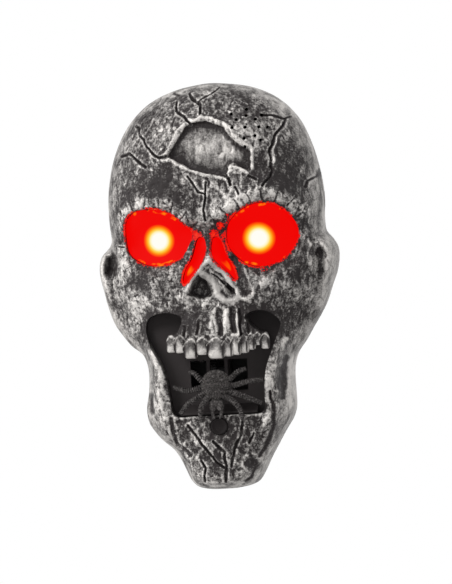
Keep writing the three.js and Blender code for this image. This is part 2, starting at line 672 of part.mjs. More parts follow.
function makeSkullFace() {
  const outer = domed(outline, faceMiddle, faceRingShares, faceDepthAt, 0);
  const core = domed(grown(outline, -shellWall), faceMiddle, coreRingShares, coreDepthAt, -overrun);
  const foreheadHole = closedCurve(foreheadHoleShares, openingSteps);
  const foreheadFloor = domed(
    outline, faceMiddle, coreRingShares, (x, z) => faceDepthAt(x, z) - foreheadDrop, 0);
  const foreheadBack = Math.min(...foreheadHole.map(({ x, y }) => faceDepthAt(x, y))) - foreheadDrop;
  const nostrils = [leftNostrilShares, rightNostrilShares].map((shares) => {
    const edge = closedCurve(shares, nostrilSteps);
    const middle = middleOf(edge);
    return { edge, floor: faceDepthAt(middle.x, middle.y) - nostrilDrop };
  });
  const caseScrewEnd = caseScrewHeadBack + screwHeadHeight + caseScrewLength + clearance;
  const mechanismScrewEnd = linerBack + mechanismScrewLength;

  // Walls, posts and the speaker's ring, left standing where the core is hollowed out.
  const inside = joined([
    prism(grown(leftSocket, tubeWall), lensSeat, beyond),
    prism(grown(rightSocket, tubeWall), lensSeat, beyond),
    prism(grown(leftWedge, tubeWall), noseSeat, beyond),
    prism(grown(rightWedge, tubeWall), noseSeat, beyond),
    prism(grown(mouth, tubeWall), linerSeat, beyond),
    prism(grown(foreheadHole, tubeWall), foreheadBack - shellWall, beyond),
    ...nostrils.map(({ edge, floor }) => prism(grown(edge, tubeWall), floor - shellWall, beyond)),
    rod(speakerX, speakerZ, speakerFront - speakerRingGrip, speakerFront + clearance + shellWall,
      speakerRadius + clearance + tubeWall, speakerSides),
    ...caseScrewPlaces.map((place) => postInto(place, coverThickness + clearance, postRadius)),
    ...mechanismScrewPlaces.map((place) => postInto(place, linerSeat, postRadius)),
    ...[-1, 1].map((side) => postInto(
      [buttonX + side * buttonPostSpread, buttonZ], pushSwitchBack + clearance, buttonPostRadius)),
  ]);
  // Room behind those walls for what is put in from the back.
  const room = joined([
    prism(grown(leftSocket, tubeWall + clearance), 0, lensSeat),
    prism(grown(rightSocket, tubeWall + clearance), 0, lensSeat),
    prism(grown(leftWedge, tubeWall + clearance), 0, noseSeat),
    prism(grown(rightWedge, tubeWall + clearance), 0, noseSeat),
    prism(grown(mouthSurround, tubeWall + clearance), 0, linerSeat),
    ...mechanismScrewPlaces.map(([x, z]) => rod(x, z, 0, linerSeat, screwEarRadius + clearance)),
    rod(speakerX, speakerZ, 0, speakerFront + clearance, speakerRadius + clearance, speakerSides),
  ]);
  const openings = joined([
    room,
    prism(leftSocket, 0, beyond),
    prism(rightSocket, 0, beyond),
    prism(leftWedge, 0, beyond),
    prism(rightWedge, 0, beyond),
    prism(mouth, linerSeat - overrun, beyond),
    prism(foreheadHole, 0, beyond).subtract(foreheadFloor),
    ...nostrils.map(({ edge, floor }) => prism(edge, floor, beyond)),
    rod(buttonX, buttonZ, linerBack, beyond, buttonRadius + clearance),
    ...soundHoleShares.map(placeOf)
      .map(({ x, y }) => rod(x, y, speakerBack, beyond, soundHoleRadius, soundHoleSides)),
    ...caseScrewPlaces.map(([x, z]) => rod(x, z, 0, caseScrewEnd, screwShankRadius + clearance, screwSides)),
    ...mechanismScrewPlaces.map(([x, z]) => rod(
      x, z, 0, mechanismScrewEnd, screwShankRadius + clearance, screwSides)),
  ]);
  const teeth = toothShares.map(([u, v, width]) => {
    const { x, y: lowerEdge } = placeOf([u, v]);
    const tooth = new THREE.SphereGeometry(1, toothSides, toothRings);
    tooth.scale((width * halfWidth) / 2, toothThickness / 2, toothHeight / 2);
    return solidOf(tooth.translate(x, -faceDepthAt(x, lowerEdge), lowerEdge + toothHeight / 2));
  });
  return joined([outer.subtract(core.subtract(inside)).subtract(openings), ...teeth]);
}

addPiece('skull_face', 'silveredPlastic', makeSkullFace());

// Lenses, light cups and LEDs

// Each lens fills its opening to a little below the face, and a flange keeps it from coming out.
function lensFront(edge, back, drop) {
  return domed(edge, middleOf(edge), lensRingShares, (x, z) => faceDepthAt(x, z) - drop, back);
}

function makeEyeLens(socket) {
  return lensFront(grown(socket, -clearance), lensDepth, lensDrop)
    .add(prism(grown(socket, tubeWall), lensDepth, lensDepth + lensWall))
    .subtract(lensFront(grown(socket, -clearance - lensWall), lensDepth - overrun, lensDrop + lensWall));
}

function makeNoseLens(wedge) {
  return prism(grown(wedge, tubeWall), noseLensDepth, noseLensDepth + lensWall)
    .add(lensFront(grown(wedge, -clearance), noseLensDepth, lensDrop));
}

function makeLightCup(socket) {
  const wall = grown(socket, tubeWall);
  const room = prism(grown(wall, -lensWall), lightCupBack + lensWall, lensDepth);
  return prism(wall, lightCupBack, lensDepth - clearance).subtract(room);
}

function makeLed({ x, y: z }) {
  const back = lightCupBack + lensWall + clearance;
  const shoulder = back + ledLength - ledRadius;
  return turned(x, z, [
    [0, back], [ledFlangeRadius, back], [ledFlangeRadius, back + ledFlangeHeight],
    [ledRadius, back + ledFlangeHeight], [ledRadius, shoulder],
    [ledRadius * Math.SQRT1_2, shoulder + ledRadius * Math.SQRT1_2], [0, shoulder + ledRadius],
  ], smallSides);
}

addPiece('eye_lens_left', 'redPlastic', makeEyeLens(leftSocket));
addPiece('eye_lens_right', 'redPlastic', makeEyeLens(rightSocket));
addPiece('nose_lens_left', 'redPlastic', makeNoseLens(leftWedge));
addPiece('nose_lens_right', 'redPlastic', makeNoseLens(rightWedge));
addPiece('light_cup_left', 'whitePlastic', makeLightCup(leftSocket));
addPiece('light_cup_right', 'whitePlastic', makeLightCup(rightSocket));
addPiece('led_left', 'whitePlastic', makeLed(placeOf(leftLedShares)));
addPiece('led_right', 'whitePlastic', makeLed(placeOf(rightLedShares)));

// Back cover, battery tray and door

const trayHalfWidth = (cellPitch * (cellCount - 1)) / 2 + cellRadius + clearance;
const trayInnerLength = cellLength + cellButtonHeight + contactRoom + 2 * contactThickness + 4 * clearance;
const trayInnerTop = trayMiddle + trayInnerLength / 2;
const trayInnerBottom = trayMiddle - trayInnerLength / 2;
const trayTop = trayInnerTop + trayEndWall;
const trayBottom = trayInnerBottom - trayEndWall;
const cellDepth = doorThickness + clearance + cellRadius;
const trayFloor = cellDepth + cellRadius + clearance;
const trayFront = trayFloor + trayWall;
const doorHalfWidth = trayHalfWidth + doorLedge;
const doorScrewPlaces = [
  [0, trayInnerTop + (trayEndWall - trayWall) / 2],
  [0, trayInnerBottom - (trayEndWall - trayWall) / 2],
];
const doorScrewHeadBack = doorThickness - doorScrewSeat - clearance - screwHeadHeight;

function powerSlot(near, far) {
  return block(
    powerSwitchX - powerSlotWidth / 2, powerSwitchX + powerSlotWidth / 2, near, far,
    powerSwitchZ - powerSlotLength / 2, powerSwitchZ + powerSlotLength / 2);
}

function makeBackCover() {
  const coverEdge = grown(outline, -shellWall - coverMargin);
  const trayOuter = doorHalfWidth + trayWall;
  const body = joined([
    prism(coverEdge, 0, coverThickness),
    block(-trayOuter, trayOuter, 0, trayFront, trayBottom, trayTop),
    ...boardPostShares.map(placeOf)
      .map(({ x, y }) => rod(x, y, 0, boardDepth - clearance, boardPostRadius, smallSides)),
  ]);
  const keyhole = joined([
    rod(0, hangerHeight, -overrun, coverThickness + overrun, hangerHeadRadius),
    rod(0, hangerHeight + hangerSlotLength, -overrun, coverThickness + overrun, hangerSlotRadius),
    block(-hangerSlotRadius, hangerSlotRadius, -overrun, coverThickness + overrun,
      hangerHeight, hangerHeight + hangerSlotLength),
  ]);
  const screwHoles = caseScrewPlaces.flatMap(([x, z]) => [
    rod(x, z, -overrun, coverThickness + overrun, screwShankRadius + clearance, screwSides),
    rod(x, z, -overrun, coverThickness - coverScrewSeat, screwHeadRadius + clearance, holeSides),
  ]);
  const cuts = joined([
    block(-trayHalfWidth, trayHalfWidth, -overrun, trayFloor, trayInnerBottom, trayInnerTop),
    block(-doorHalfWidth, doorHalfWidth, -overrun, doorThickness + clearance,
      trayBottom + trayWall, trayTop - trayWall),
    keyhole,
    powerSlot(-overrun, coverThickness + overrun),
    ...screwHoles,
    ...doorScrewPlaces.map(([x, z]) => rod(
      x, z, 0, doorScrewHeadBack + screwHeadHeight + doorScrewLength + clearance,
      screwShankRadius + clearance, screwSides)),
  ]);
  return body.subtract(cuts);
}

// Grip grooves run across the door, and its two screws sit in counterbores.
function makeBatteryDoor() {
  const plate = block(
    -doorHalfWidth + clearance, doorHalfWidth - clearance, 0, doorThickness,
    trayBottom + trayWall + clearance, trayTop - trayWall - clearance);
  const screwHoles = doorScrewPlaces.flatMap(([x, z]) => [
    rod(x, z, -overrun, doorThickness + overrun, screwShankRadius + clearance, screwSides),
    rod(x, z, -overrun, doorThickness - doorScrewSeat, screwHeadRadius + clearance, screwSides),
  ]);
  const grooves = Array.from({ length: doorGrooves }, (_, i) => {
    const z = trayMiddle + (i - (doorGrooves - 1) / 2) * doorGroovePitch;
    return block(-doorGrooveReach, doorGrooveReach, -overrun, doorGrooveDepth,
      z - doorGrooveWidth / 2, z + doorGrooveWidth / 2);
  });
  return plate.subtract(joined([...screwHoles, ...grooves]));
}

// A dry cell that stands along z, with its button at the top or, turned over, at the bottom.
function makeCell(x, buttonUp) {
  const start = cellContactRoom(buttonUp);
  const profile = [
    [0, 0], [cellRadius, 0], [cellRadius, cellLength], [cellButtonRadius, cellLength],
    [cellButtonRadius, cellLength + cellButtonHeight], [0, cellLength + cellButtonHeight],
  ].map(([radius, height]) => new THREE.Vector2(radius, height));
  const geometry = new THREE.LatheGeometry(profile, roundSides);
  geometry.rotateX(buttonUp ? Math.PI / 2 : -Math.PI / 2);
  return solidOf(geometry.translate(x, -cellDepth, start));
}

// Where a cell's flat end stands, past the spring that pushes on it.
function cellContactRoom(buttonUp) {
  const springEnd = contactThickness + 2 * clearance + contactRoom;
  return buttonUp ? trayInnerBottom + springEnd : trayInnerTop - springEnd;
}

// A contact plate at one end of the tray, with a spring cone for each cell that turns its flat end to it.
function makeContact(cells, atTop) {
  const inwards = atTop ? -1 : 1;
  const outerZ = (atTop ? trayInnerTop : trayInnerBottom) + inwards * clearance;
  const innerZ = outerZ + inwards * contactThickness;
  const centres = cells.map(cellX);
  const plate = block(
    Math.min(...centres) - contactReach, Math.max(...centres) + contactReach,
    cellDepth - contactReach, cellDepth + contactReach,
    Math.min(outerZ, innerZ), Math.max(outerZ, innerZ));
  const springs = cells.filter((cell) => (cell % 2 === 0) !== atTop).map((cell) => {
    const profile = [
      [0, -contactThickness / 2], [springBase, -contactThickness / 2], [springBase, 0],
      [springTip, contactRoom], [0, contactRoom],
    ].map(([radius, height]) => new THREE.Vector2(radius, height));
    const geometry = new THREE.LatheGeometry(profile, smallSides);
    geometry.rotateX(atTop ? -Math.PI / 2 : Math.PI / 2);
    return solidOf(geometry.translate(cellX(cell), -cellDepth, innerZ));
  });
  return joined([plate, ...springs]);
}

function cellX(cell) {
  return (cell - (cellCount - 1) / 2) * cellPitch;
}

addPiece('back_cover', 'blackPlastic', makeBackCover());
addPiece('battery_door', 'blackPlastic', makeBatteryDoor());
for (let cell = 0; cell < cellCount; cell += 1) {
  addPiece(`battery_${cell + 1}`, 'cellJacket', makeCell(cellX(cell), cell % 2 === 0));
}
addPiece('contact_negative', 'springSteel', makeContact([0], false));
addPiece('contact_bridge_lower', 'springSteel', makeContact([1, 2], false));
addPiece('contact_bridge_upper', 'springSteel', makeContact([0, 1], true));
addPiece('contact_positive', 'springSteel', makeContact([2], true));
doorScrewPlaces.forEach((place, i) => {
  addPiece(`door_screw_${i + 1}`, 'zincSteel', screwAt(place, doorScrewHeadBack, doorScrewLength));
});
caseScrewPlaces.forEach((place, i) => {
  addPiece(`case_screw_${i + 1}`, 'zincSteel', screwAt(place, caseScrewHeadBack, caseScrewLength));
});

// Off/on slide switch: the knob stands in the cover's slot, below its face

const powerBodyBack = coverThickness + clearance;
addPiece('power_switch_body', 'zincSteel', block(
  powerSwitchX - powerBodyWidth / 2, powerSwitchX + powerBodyWidth / 2,
  powerBodyBack, powerBodyBack + powerBodyHeight,
  powerSwitchZ - powerBodyLength / 2, powerSwitchZ + powerBodyLength / 2));
const powerKnobBottom = powerSwitchZ - powerSlotLength / 2 + clearance;
addPiece('power_switch_knob', 'blackPlastic', block(
  powerSwitchX - powerSlotWidth / 2 + clearance, powerSwitchX + powerSlotWidth / 2 - clearance,
  coverThickness - powerKnobHeight, coverThickness, powerKnobBottom, powerKnobBottom + powerKnobLength));

// Circuit board with its sound chip and capacitor

const boardFront = boardDepth + boardThickness;
addPiece('circuit_board', 'boardLaminate',
  block(-boardWidth / 2, boardWidth / 2, boardDepth, boardFront, boardBottom, boardTop));
addPiece('sound_chip', 'blackPlastic', block(
  chipX - chipSize / 2, chipX + chipSize / 2, boardFront, boardFront + chipHeight,
  chipZ - chipSize / 2, chipZ + chipSize / 2));
addPiece('capacitor', 'blackPlastic',
  rod(capacitorX, capacitorZ, boardFront, boardFront + capacitorHeight, capacitorRadius, smallSides));

// Speaker: a basket with its magnet, and the paper cone in it

addPiece('speaker_basket', 'zincSteel', turned(speakerX, speakerZ, [
  [0, speakerBack], [speakerMagnetRadius, speakerBack],
  [speakerMagnetRadius, speakerBack + speakerMagnetHeight],
  [speakerRadius, speakerFront - speakerFlange], [speakerRadius, speakerFront],
  [speakerRadius - speakerFlange, speakerFront],
  [speakerMagnetRadius - speakerFlange, speakerBack + speakerMagnetHeight + speakerFlange],
  [0, speakerBack + speakerMagnetHeight + speakerFlange],
], speakerSides));
addPiece('speaker_cone', 'speakerPaper', turned(speakerX, speakerZ, [
  [0, speakerFront - speakerConeDrop], [speakerMagnetRadius - speakerFlange, speakerFront - speakerConeDrop],
  [speakerRadius - speakerFlange - 2 * clearance, speakerFront - clearance],
  [speakerMagnetRadius - speakerFlange, speakerFront - clearance - speakerFlange],
  [0, speakerFront - clearance - speakerFlange],
], speakerSides));

// Push button, its switch and the small board that carries the switch

function makeButton() {
  return joined([
    rod(buttonX, buttonZ, buttonBack, buttonFront, buttonRadius),
    block(buttonX - buttonEarReach, buttonX + buttonEarReach, buttonBack, buttonBack + buttonEarThickness,
      buttonZ - buttonEarHeight / 2, buttonZ + buttonEarHeight / 2),
    rod(buttonX, buttonZ, buttonStemBack, buttonBack + overrun, buttonStemRadius, smallSides),
  ]);
}

addPiece('button_cap', 'blackPlastic', makeButton());
addPiece('button_switch', 'blackPlastic', joined([
  block(buttonX - pushSwitchSize / 2, buttonX + pushSwitchSize / 2, pushSwitchBack,
    pushSwitchBack + pushSwitchHeight, buttonZ - pushSwitchSize / 2, buttonZ + pushSwitchSize / 2),
  rod(buttonX, buttonZ, pushSwitchBack, plungerFront, pushSwitchPlungerRadius, smallSides),
]));
addPiece('button_board', 'boardLaminate', block(
  buttonX - pushSwitchBoardWidth / 2, buttonX + pushSwitchBoardWidth / 2, pushBoardBack, pushSwitchBack,
  buttonZ - pushSwitchBoardHeight / 2, buttonZ + pushSwitchBoardHeight / 2));

// Mechanism: motor, gears and the toothed arm, in a housing whose front closes the mouth

const pitchRadiusOf = (teeth) => (teeth * gearModule) / 2;
const toothPitch = Math.PI * gearModule;
const gearZ = armPitchZ + pitchRadiusOf(armPinionTeeth);
const motorZ = gearZ + pitchRadiusOf(driveTeeth) + pitchRadiusOf(motorPinionTeeth);
const rootDrop = gearModule + rootClearance;
const armRootZ = armPitchZ - rootDrop;
const armBottomZ = armRootZ - armHeight;
const armMiddleZ = (armRootZ + armBottomZ) / 2;
const armPinFront = spiderDepth - armPinLength;
const armBack = gearDepth - spiderTravel - armTail;
const driveRight = mechanismX - armWidth / 2 - clearance;
const driveLeft = driveRight - gearWidth;
const cheekLeftFront = driveLeft - clearance;
const cheekLeftBack = cheekLeftFront - cheekThickness;
const cheekRightBack = mechanismX + armWidth / 2 + 2 * clearance;
const cheekRightFront = cheekRightBack + cheekThickness;
const mechanismCoverBack = coverThickness + clearance;
const housingBack = mechanismCoverBack + mechanismCoverThickness + clearance;
const mouthFloorBottom = mouthLeftShares[0][1] * halfHeight + 3 * clearance;
const mouthFloorTop = mouthFloorBottom + mouthFloorRise;
const mouthFloorFrontTop = mouthFloorBottom + mouthFloorLip;

// Half the thickness of a tooth at its tip, on the pitch line and at its root.
const toothHalfPitch = (toothPitch / 2 - backlash) / 2;
const toothHalfTip = toothHalfPitch * toothTipShare;
const toothHalfRoot = toothHalfPitch * toothRootShare;

// A spur gear on an axis along x. A phase of 0 points a tooth straight down.
function makeGear(teeth, fromX, toX, z, phase) {
  const radius = pitchRadiusOf(teeth);
  const points = [];
  for (let i = 0; i < teeth; i += 1) {
    const middle = phase + (i / teeth) * Math.PI * 2;
    for (const [reach, half] of [
      [radius - rootDrop, -toothHalfRoot], [radius + gearModule, -toothHalfTip],
      [radius + gearModule, toothHalfTip], [radius - rootDrop, toothHalfRoot],
    ]) {
      const turn = middle + half / radius;
      points.push([gearDepth - reach * Math.sin(turn), z - reach * Math.cos(turn)]);
    }
  }
  return sidePrism(points, fromX, toX);
}

function makeArm() {
  const points = [[armFront, armRootZ], [armFront, armBottomZ], [armBack, armBottomZ], [armBack, armRootZ]];
  const first = Math.ceil((armBack + toothHalfRoot - gearDepth) / toothPitch - 1 / 2);
  const last = Math.floor((armTeethEnd - gearDepth) / toothPitch - 1 / 2);
  for (let i = first; i <= last; i += 1) {
    const middle = gearDepth + (i + 1 / 2) * toothPitch;
    points.push(
      [middle - toothHalfRoot, armRootZ], [middle - toothHalfTip, armPitchZ + gearModule],
      [middle + toothHalfTip, armPitchZ + gearModule], [middle + toothHalfRoot, armRootZ]);
  }
  const bar = sidePrism(points, mechanismX - armWidth / 2, mechanismX + armWidth / 2);
  const pin = rod(mechanismX, armMiddleZ, armFront - overrun, armPinFront, armPinRadius, smallSides);
  return bar.add(pin);
}

function makeCompoundGear() {
  const pinionRight = mechanismX + armPinionWidth / 2;
  const bore = crossBar(
    driveLeft - overrun, pinionRight + overrun, gearDepth, gearZ, axleRadius + clearance, smallSides);
  return joined([
    makeGear(driveTeeth, driveLeft, driveRight, gearZ, Math.PI),
    makeGear(armPinionTeeth, driveRight - overrun, pinionRight, gearZ, 0),
  ]).subtract(bore);
}

const motorRight = cheekLeftBack - clearance;
const motorLeft = -housingHalfWidth + housingWall + motorEndRoom;

function makeMotor() {
  const can = crossBar(motorLeft, motorRight, gearDepth, motorZ, motorHeight / 2);
  const flats = block(motorLeft, motorRight, gearDepth - motorHeight, gearDepth + motorHeight,
    motorZ - motorWidth / 2, motorZ + motorWidth / 2);
  return can.intersect(flats)
    .subtract(crossBar(motorRight - motorBearing, motorRight + overrun, gearDepth, motorZ,
      motorShaftRadius + clearance, smallSides));
}

function makeMotorPinion() {
  return makeGear(motorPinionTeeth, driveLeft, driveRight, motorZ, Math.PI / motorPinionTeeth)
    .add(crossBar(motorRight - motorBearing + clearance, driveLeft + overrun, gearDepth, motorZ,
      motorShaftRadius, smallSides));
}

function makeMechanismHousing() {
  const panel = joined([
    prism(grown(mouthSurround, tubeWall), linerBack, linerDepth),
    ...mechanismScrewPlaces.map(([x, z]) => rod(x, z, linerBack, linerDepth, screwEarRadius)),
  ]);
  const box = block(-housingHalfWidth, housingHalfWidth, housingBack, linerDepth, housingBottom, housingTop)
    .subtract(block(-housingHalfWidth + housingWall, housingHalfWidth - housingWall, housingBack - overrun,
      linerBack, housingBottom + housingWall, housingTop - housingWall));
  const mouthFloor = sidePrism([
    [linerBack, mouthFloorTop], [linerBack, mouthFloorBottom],
    [linerDepth + mouthFloorReach, mouthFloorBottom], [linerDepth + mouthFloorReach, mouthFloorFrontTop],
  ], mechanismX - mouthFloorHalfWidth, mechanismX + mouthFloorHalfWidth);
  const guideTop = armBottomZ - clearance;
  const ribs = joined([
    block(cheekLeftBack, cheekLeftFront, cheekBack, linerDepth, guideTop - housingWall, housingTop),
    block(cheekRightBack, cheekRightFront, cheekBack, linerDepth, guideTop - housingWall, housingTop),
    block(cheekLeftBack, cheekRightFront, cheekBack, linerDepth, guideTop - housingWall, guideTop),
    ...[motorLeft + motorWidth / 4, motorRight - motorWidth / 4].map((x) => block(
      x - housingWall / 2, x + housingWall / 2, gearDepth + motorHeight / 2 + clearance, linerDepth,
      motorZ - motorWidth / 2, motorZ + motorWidth / 2)),
  ]);
  const window = block(mechanismX - windowHalfWidth, mechanismX + windowHalfWidth, linerBack - overrun,
    linerDepth + overrun, windowBottom, windowTop);
  const cuts = joined([
    window,
    crossBar(cheekLeftBack - overrun, cheekLeftFront + overrun, gearDepth, motorZ,
      motorShaftRadius + clearance, smallSides),
    crossBar(cheekLeftBack + axleBlind, cheekRightFront - axleBlind, gearDepth, gearZ,
      axleRadius + clearance, smallSides),
    solidOf(new THREE.CylinderGeometry(leadHoleRadius, leadHoleRadius, housingWall + 2 * overrun, smallSides)
      .rotateX(Math.PI / 2).translate(
        -housingHalfWidth + housingWall + motorLeadInset, -motorLeadDepth, housingTop - housingWall / 2)),
    ...mechanismScrewPlaces.map(([x, z]) => rod(
      x, z, linerBack - overrun, linerDepth + overrun, screwShankRadius + clearance, screwSides)),
  ]);
  return joined([panel, box]).subtract(window).add(ribs).add(mouthFloor).subtract(cuts);
}

addPiece('mechanism_housing', 'blackPlastic', makeMechanismHousing());
addPiece('mechanism_cover', 'blackPlastic', block(
  -housingHalfWidth, housingHalfWidth, mechanismCoverBack, mechanismCoverBack + mechanismCoverThickness,
  housingBottom, housingTop));
mechanismScrewPlaces.forEach((place, i) => {
  addPiece(`mechanism_screw_${i + 1}`, 'zincSteel',
    screwAt(place, linerBack - clearance - screwHeadHeight, mechanismScrewLength));
});
addPiece('motor', 'zincSteel', makeMotor());
addPiece('motor_clamp', 'springSteel', block(
  -housingHalfWidth + housingWall + clearance, cheekLeftBack - clearance,
  gearDepth - motorHeight / 2 - clearance - clampThickness, gearDepth - motorHeight / 2 - clearance,
  motorZ - motorWidth / 2, motorZ + motorWidth / 6));
addPiece('motor_pinion', 'whitePlastic', makeMotorPinion());
addPiece('drive_gear', 'whitePlastic', makeCompoundGear());
addPiece('gear_axle', 'zincSteel', crossBar(cheekLeftBack + axleBlind + clearance,
  cheekRightFront - axleBlind - clearance, gearDepth, gearZ, axleRadius, smallSides));
addPiece('spider_arm', 'whitePlastic', makeArm());

// Spider: one soft moulding, pressed on the arm's pin

function makeSpider() {
  const at = ([side, up, front]) => [
    mechanismX + side * abdomenRadius, spiderDepth + front * abdomenRadius, spiderZ + up * abdomenRadius,
  ];
  const ball = (radius, x, depth, z, sides, rings) =>
    solidOf(new THREE.SphereGeometry(radius, sides, rings).translate(x, -depth, z));
  const headZ = spiderZ - abdomenRadius * headDropShare;
  const fangs = [-1, 1].map((side) => tubeAlong([
    [mechanismX + side * fangSpread, spiderDepth + fangRadius, headZ - spiderHeadRadius / 2],
    [mechanismX + side * fangSpread, spiderDepth + fangRadius, headZ - spiderHeadRadius - fangLength / 2],
    [mechanismX + side * fangSpread / 2, spiderDepth + fangRadius, headZ - spiderHeadRadius - fangLength],
  ], fangRadius, legSides, fangSteps));
  const legs = legShares.map((route) => tubeAlong(route.map(at), legRadius, legSides, legSteps));
  return joined([
    ball(abdomenRadius, mechanismX, spiderDepth, spiderZ, roundSides, abdomenRings),
    ball(spiderHeadRadius, mechanismX, spiderDepth, headZ, smallSides, headRings),
    ...fangs,
    ...legs,
  ]).subtract(rod(mechanismX, armMiddleZ, spiderDepth - abdomenRadius - overrun, armPinFront + clearance,
    armPinRadius + clearance, smallSides));
}

addPiece('spider', 'spiderRubber', makeSpider());

// Leads from the circuit board to what it feeds

const leadRoutes = {
  battery_lead: [[-15, 13.5, 24.3], [-15, 14.2, 22], [-15, 12.9, 17]],
  speaker_lead: [[29, 18.7, 88], [31, 17.5, 82], [34, 14, 73], [34, 13, 50], [33, 13, 30], [24, 13.1, 14]],
  led_lead_left: [[-31, 19.3, 28.8], [-30, 15.5, 24], [-23, 12.9, 15]],
  led_lead_right: [[30.3, 19.3, 27.7], [26, 16, 24], [17, 12.9, 15]],
  motor_lead: [
    [-26.5, 22, -36.5], [-26.2, 17, -34], [-24.5, 13.2, -31.5], [-23.5, 13.1, -27], [-20, 12.9, -20],
  ],
  button_lead: [
    [6, 24, -85.4], [18, 18, -84], [31, 12, -80], [34, 9.5, -70], [34, 9, -50], [34, 11, -34],
    [29, 14, -25], [17, 12.9, -16],
  ],
};
for (const [name, route] of Object.entries(leadRoutes)) {
  addPiece(name, 'redLead', tubeAlong(route, leadRadius, leadSides, leadSteps));
}

export default doorbell;
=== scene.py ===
"""Skull doorbell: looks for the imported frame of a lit, wall-hung skull with a spider in its mouth.

Places are in millimetres across, up and towards the viewer from the middle of the wall face, and
become metres when a mesh is made. Depth is the distance from the wall towards the viewer.
"""

import json
import math

import bmesh
import bpy
import numpy as np
from mathutils import Matrix, Vector
from mathutils.kdtree import KDTree


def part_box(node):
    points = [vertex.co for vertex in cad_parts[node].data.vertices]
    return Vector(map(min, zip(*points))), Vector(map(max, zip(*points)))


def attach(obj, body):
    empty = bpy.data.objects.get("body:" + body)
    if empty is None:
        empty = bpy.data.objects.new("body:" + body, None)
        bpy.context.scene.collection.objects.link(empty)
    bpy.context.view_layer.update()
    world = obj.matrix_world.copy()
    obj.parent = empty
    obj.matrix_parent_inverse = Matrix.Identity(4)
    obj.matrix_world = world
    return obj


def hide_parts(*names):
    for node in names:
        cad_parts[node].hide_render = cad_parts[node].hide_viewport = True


bl_info = {
    "name": "Skull doorbell",
    "version": (1, 0, 0),
    "blender": (4, 5, 0),
    "location": "View3D > Sidebar > Skull doorbell",
    "description": "Dresses the packed frame of a skull doorbell for rendering",
    "category": "Object",
}

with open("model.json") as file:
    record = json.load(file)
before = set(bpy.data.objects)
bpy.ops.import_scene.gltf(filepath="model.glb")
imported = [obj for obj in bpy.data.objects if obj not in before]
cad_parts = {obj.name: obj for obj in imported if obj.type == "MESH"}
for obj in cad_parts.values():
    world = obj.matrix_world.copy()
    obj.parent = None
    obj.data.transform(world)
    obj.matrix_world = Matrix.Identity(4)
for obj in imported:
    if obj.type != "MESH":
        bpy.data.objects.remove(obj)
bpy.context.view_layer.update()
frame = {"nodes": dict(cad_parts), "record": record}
MM = 0.001

# The whole part, and the gaps, walls and steps that its pieces share
HALF_WIDTH = 74.0
HALF_HEIGHT = 124.0
FACE_DEPTH = 64.0
CLEARANCE = 0.3
SHELL_WALL = 2.4
TUBE_WALL = 1.8
LENS_DROP = 4.0

# Depths at which the tubes round the openings end, and at which the lenses' backs stand
SOCKET_SEAT = 31.9
WEDGE_SEAT = 41.9
LINER_SEAT = 34.3
FOREHEAD_SEAT = 40.0
EYE_LENS_BACK = 30.2
NOSE_LENS_BACK = 40.2
MOUTH_BACK = 30.0
SOUND_BACK = 20.0
BEHIND = -1.0
BEYOND = FACE_DEPTH * 2

# Middle of the push button, its radius and the depth of its back, then the holes' radii
BUTTON = (1.4, -85.4)
BUTTON_RADIUS = 5.2
BUTTON_BACK = 36.2
BUTTON_HOLE_RADIUS = 5.5
SOUND_HOLE_RADIUS = 1.05

# The face's mesh: rings before the remesh, the limit of triangles, and rounds of smoothing
FACE_RINGS = 110
TRIANGLE_LIMIT = 190000
RELAX_FINE = 5
RELAX_BROAD = 40

# Outline of the head, then tables down the face, all as shares of half the width, half the height
# and the face's depth.
OUTLINE_SHARES = [
    (0, 1), (0.125, 0.995), (0.34, 0.972), (0.55, 0.911), (0.72, 0.805), (0.82, 0.67),
    (0.875, 0.54), (0.9, 0.42), (0.893, 0.31), (0.905, 0.245), (0.95, 0.215), (0.995, 0.165),
    (1, 0.12), (0.98, 0.05), (0.935, -0.02), (0.885, -0.1), (0.825, -0.165), (0.757, -0.228),
    (0.695, -0.288), (0.63, -0.34), (0.595, -0.4), (0.588, -0.47), (0.592, -0.55), (0.59, -0.61),
    (0.565, -0.66), (0.5, -0.72), (0.43, -0.79), (0.375, -0.845), (0.311, -0.919),
    (0.258, -0.967), (0.205, -0.985), (0.1, -0.998), (0, -1), (-0.12, -0.999),
    (-0.219, -0.985), (-0.276, -0.952), (-0.314, -0.902), (-0.352, -0.852), (-0.406, -0.8),
    (-0.503, -0.749), (-0.574, -0.697), (-0.61, -0.66), (-0.626, -0.59), (-0.605, -0.52),
    (-0.596, -0.45), (-0.6, -0.4), (-0.624, -0.345), (-0.66, -0.315), (-0.73, -0.285),
    (-0.807, -0.23), (-0.878, -0.165), (-0.92, -0.091), (-0.949, -0.013), (-0.976, 0.068),
    (-0.978, 0.12), (-0.955, 0.17), (-0.9, 0.205), (-0.872, 0.235), (-0.884, 0.315),
    (-0.892, 0.429), (-0.869, 0.553), (-0.807, 0.684), (-0.694, 0.809), (-0.526, 0.908),
    (-0.315, 0.968), (-0.085, 0.996),
]
CENTRE_DEPTH_SHARES = [
    (-1, 0.64), (-0.8, 0.69), (-0.62, 0.75), (-0.45, 0.85), (-0.36, 0.88), (-0.25, 0.87),
    (-0.13, 0.83), (0, 0.8), (0.13, 0.8), (0.26, 0.79), (0.36, 0.89), (0.45, 0.91),
    (0.62, 0.9), (0.8, 0.87), (1, 0.8),
]
SIDE_DEPTH_SHARES = [
    (-1, 0.56), (-0.8, 0.56), (-0.6, 0.52), (-0.35, 0.5), (-0.2, 0.46), (0, 0.42),
    (0.2, 0.44), (0.4, 0.64), (0.6, 0.7), (1, 0.68),
]
RIM_DEPTH_SHARES = [(-1, 0.3), (-0.5, 0.3), (-0.2, 0.2), (0.2, 0.18), (0.5, 0.12), (1, 0.12)]
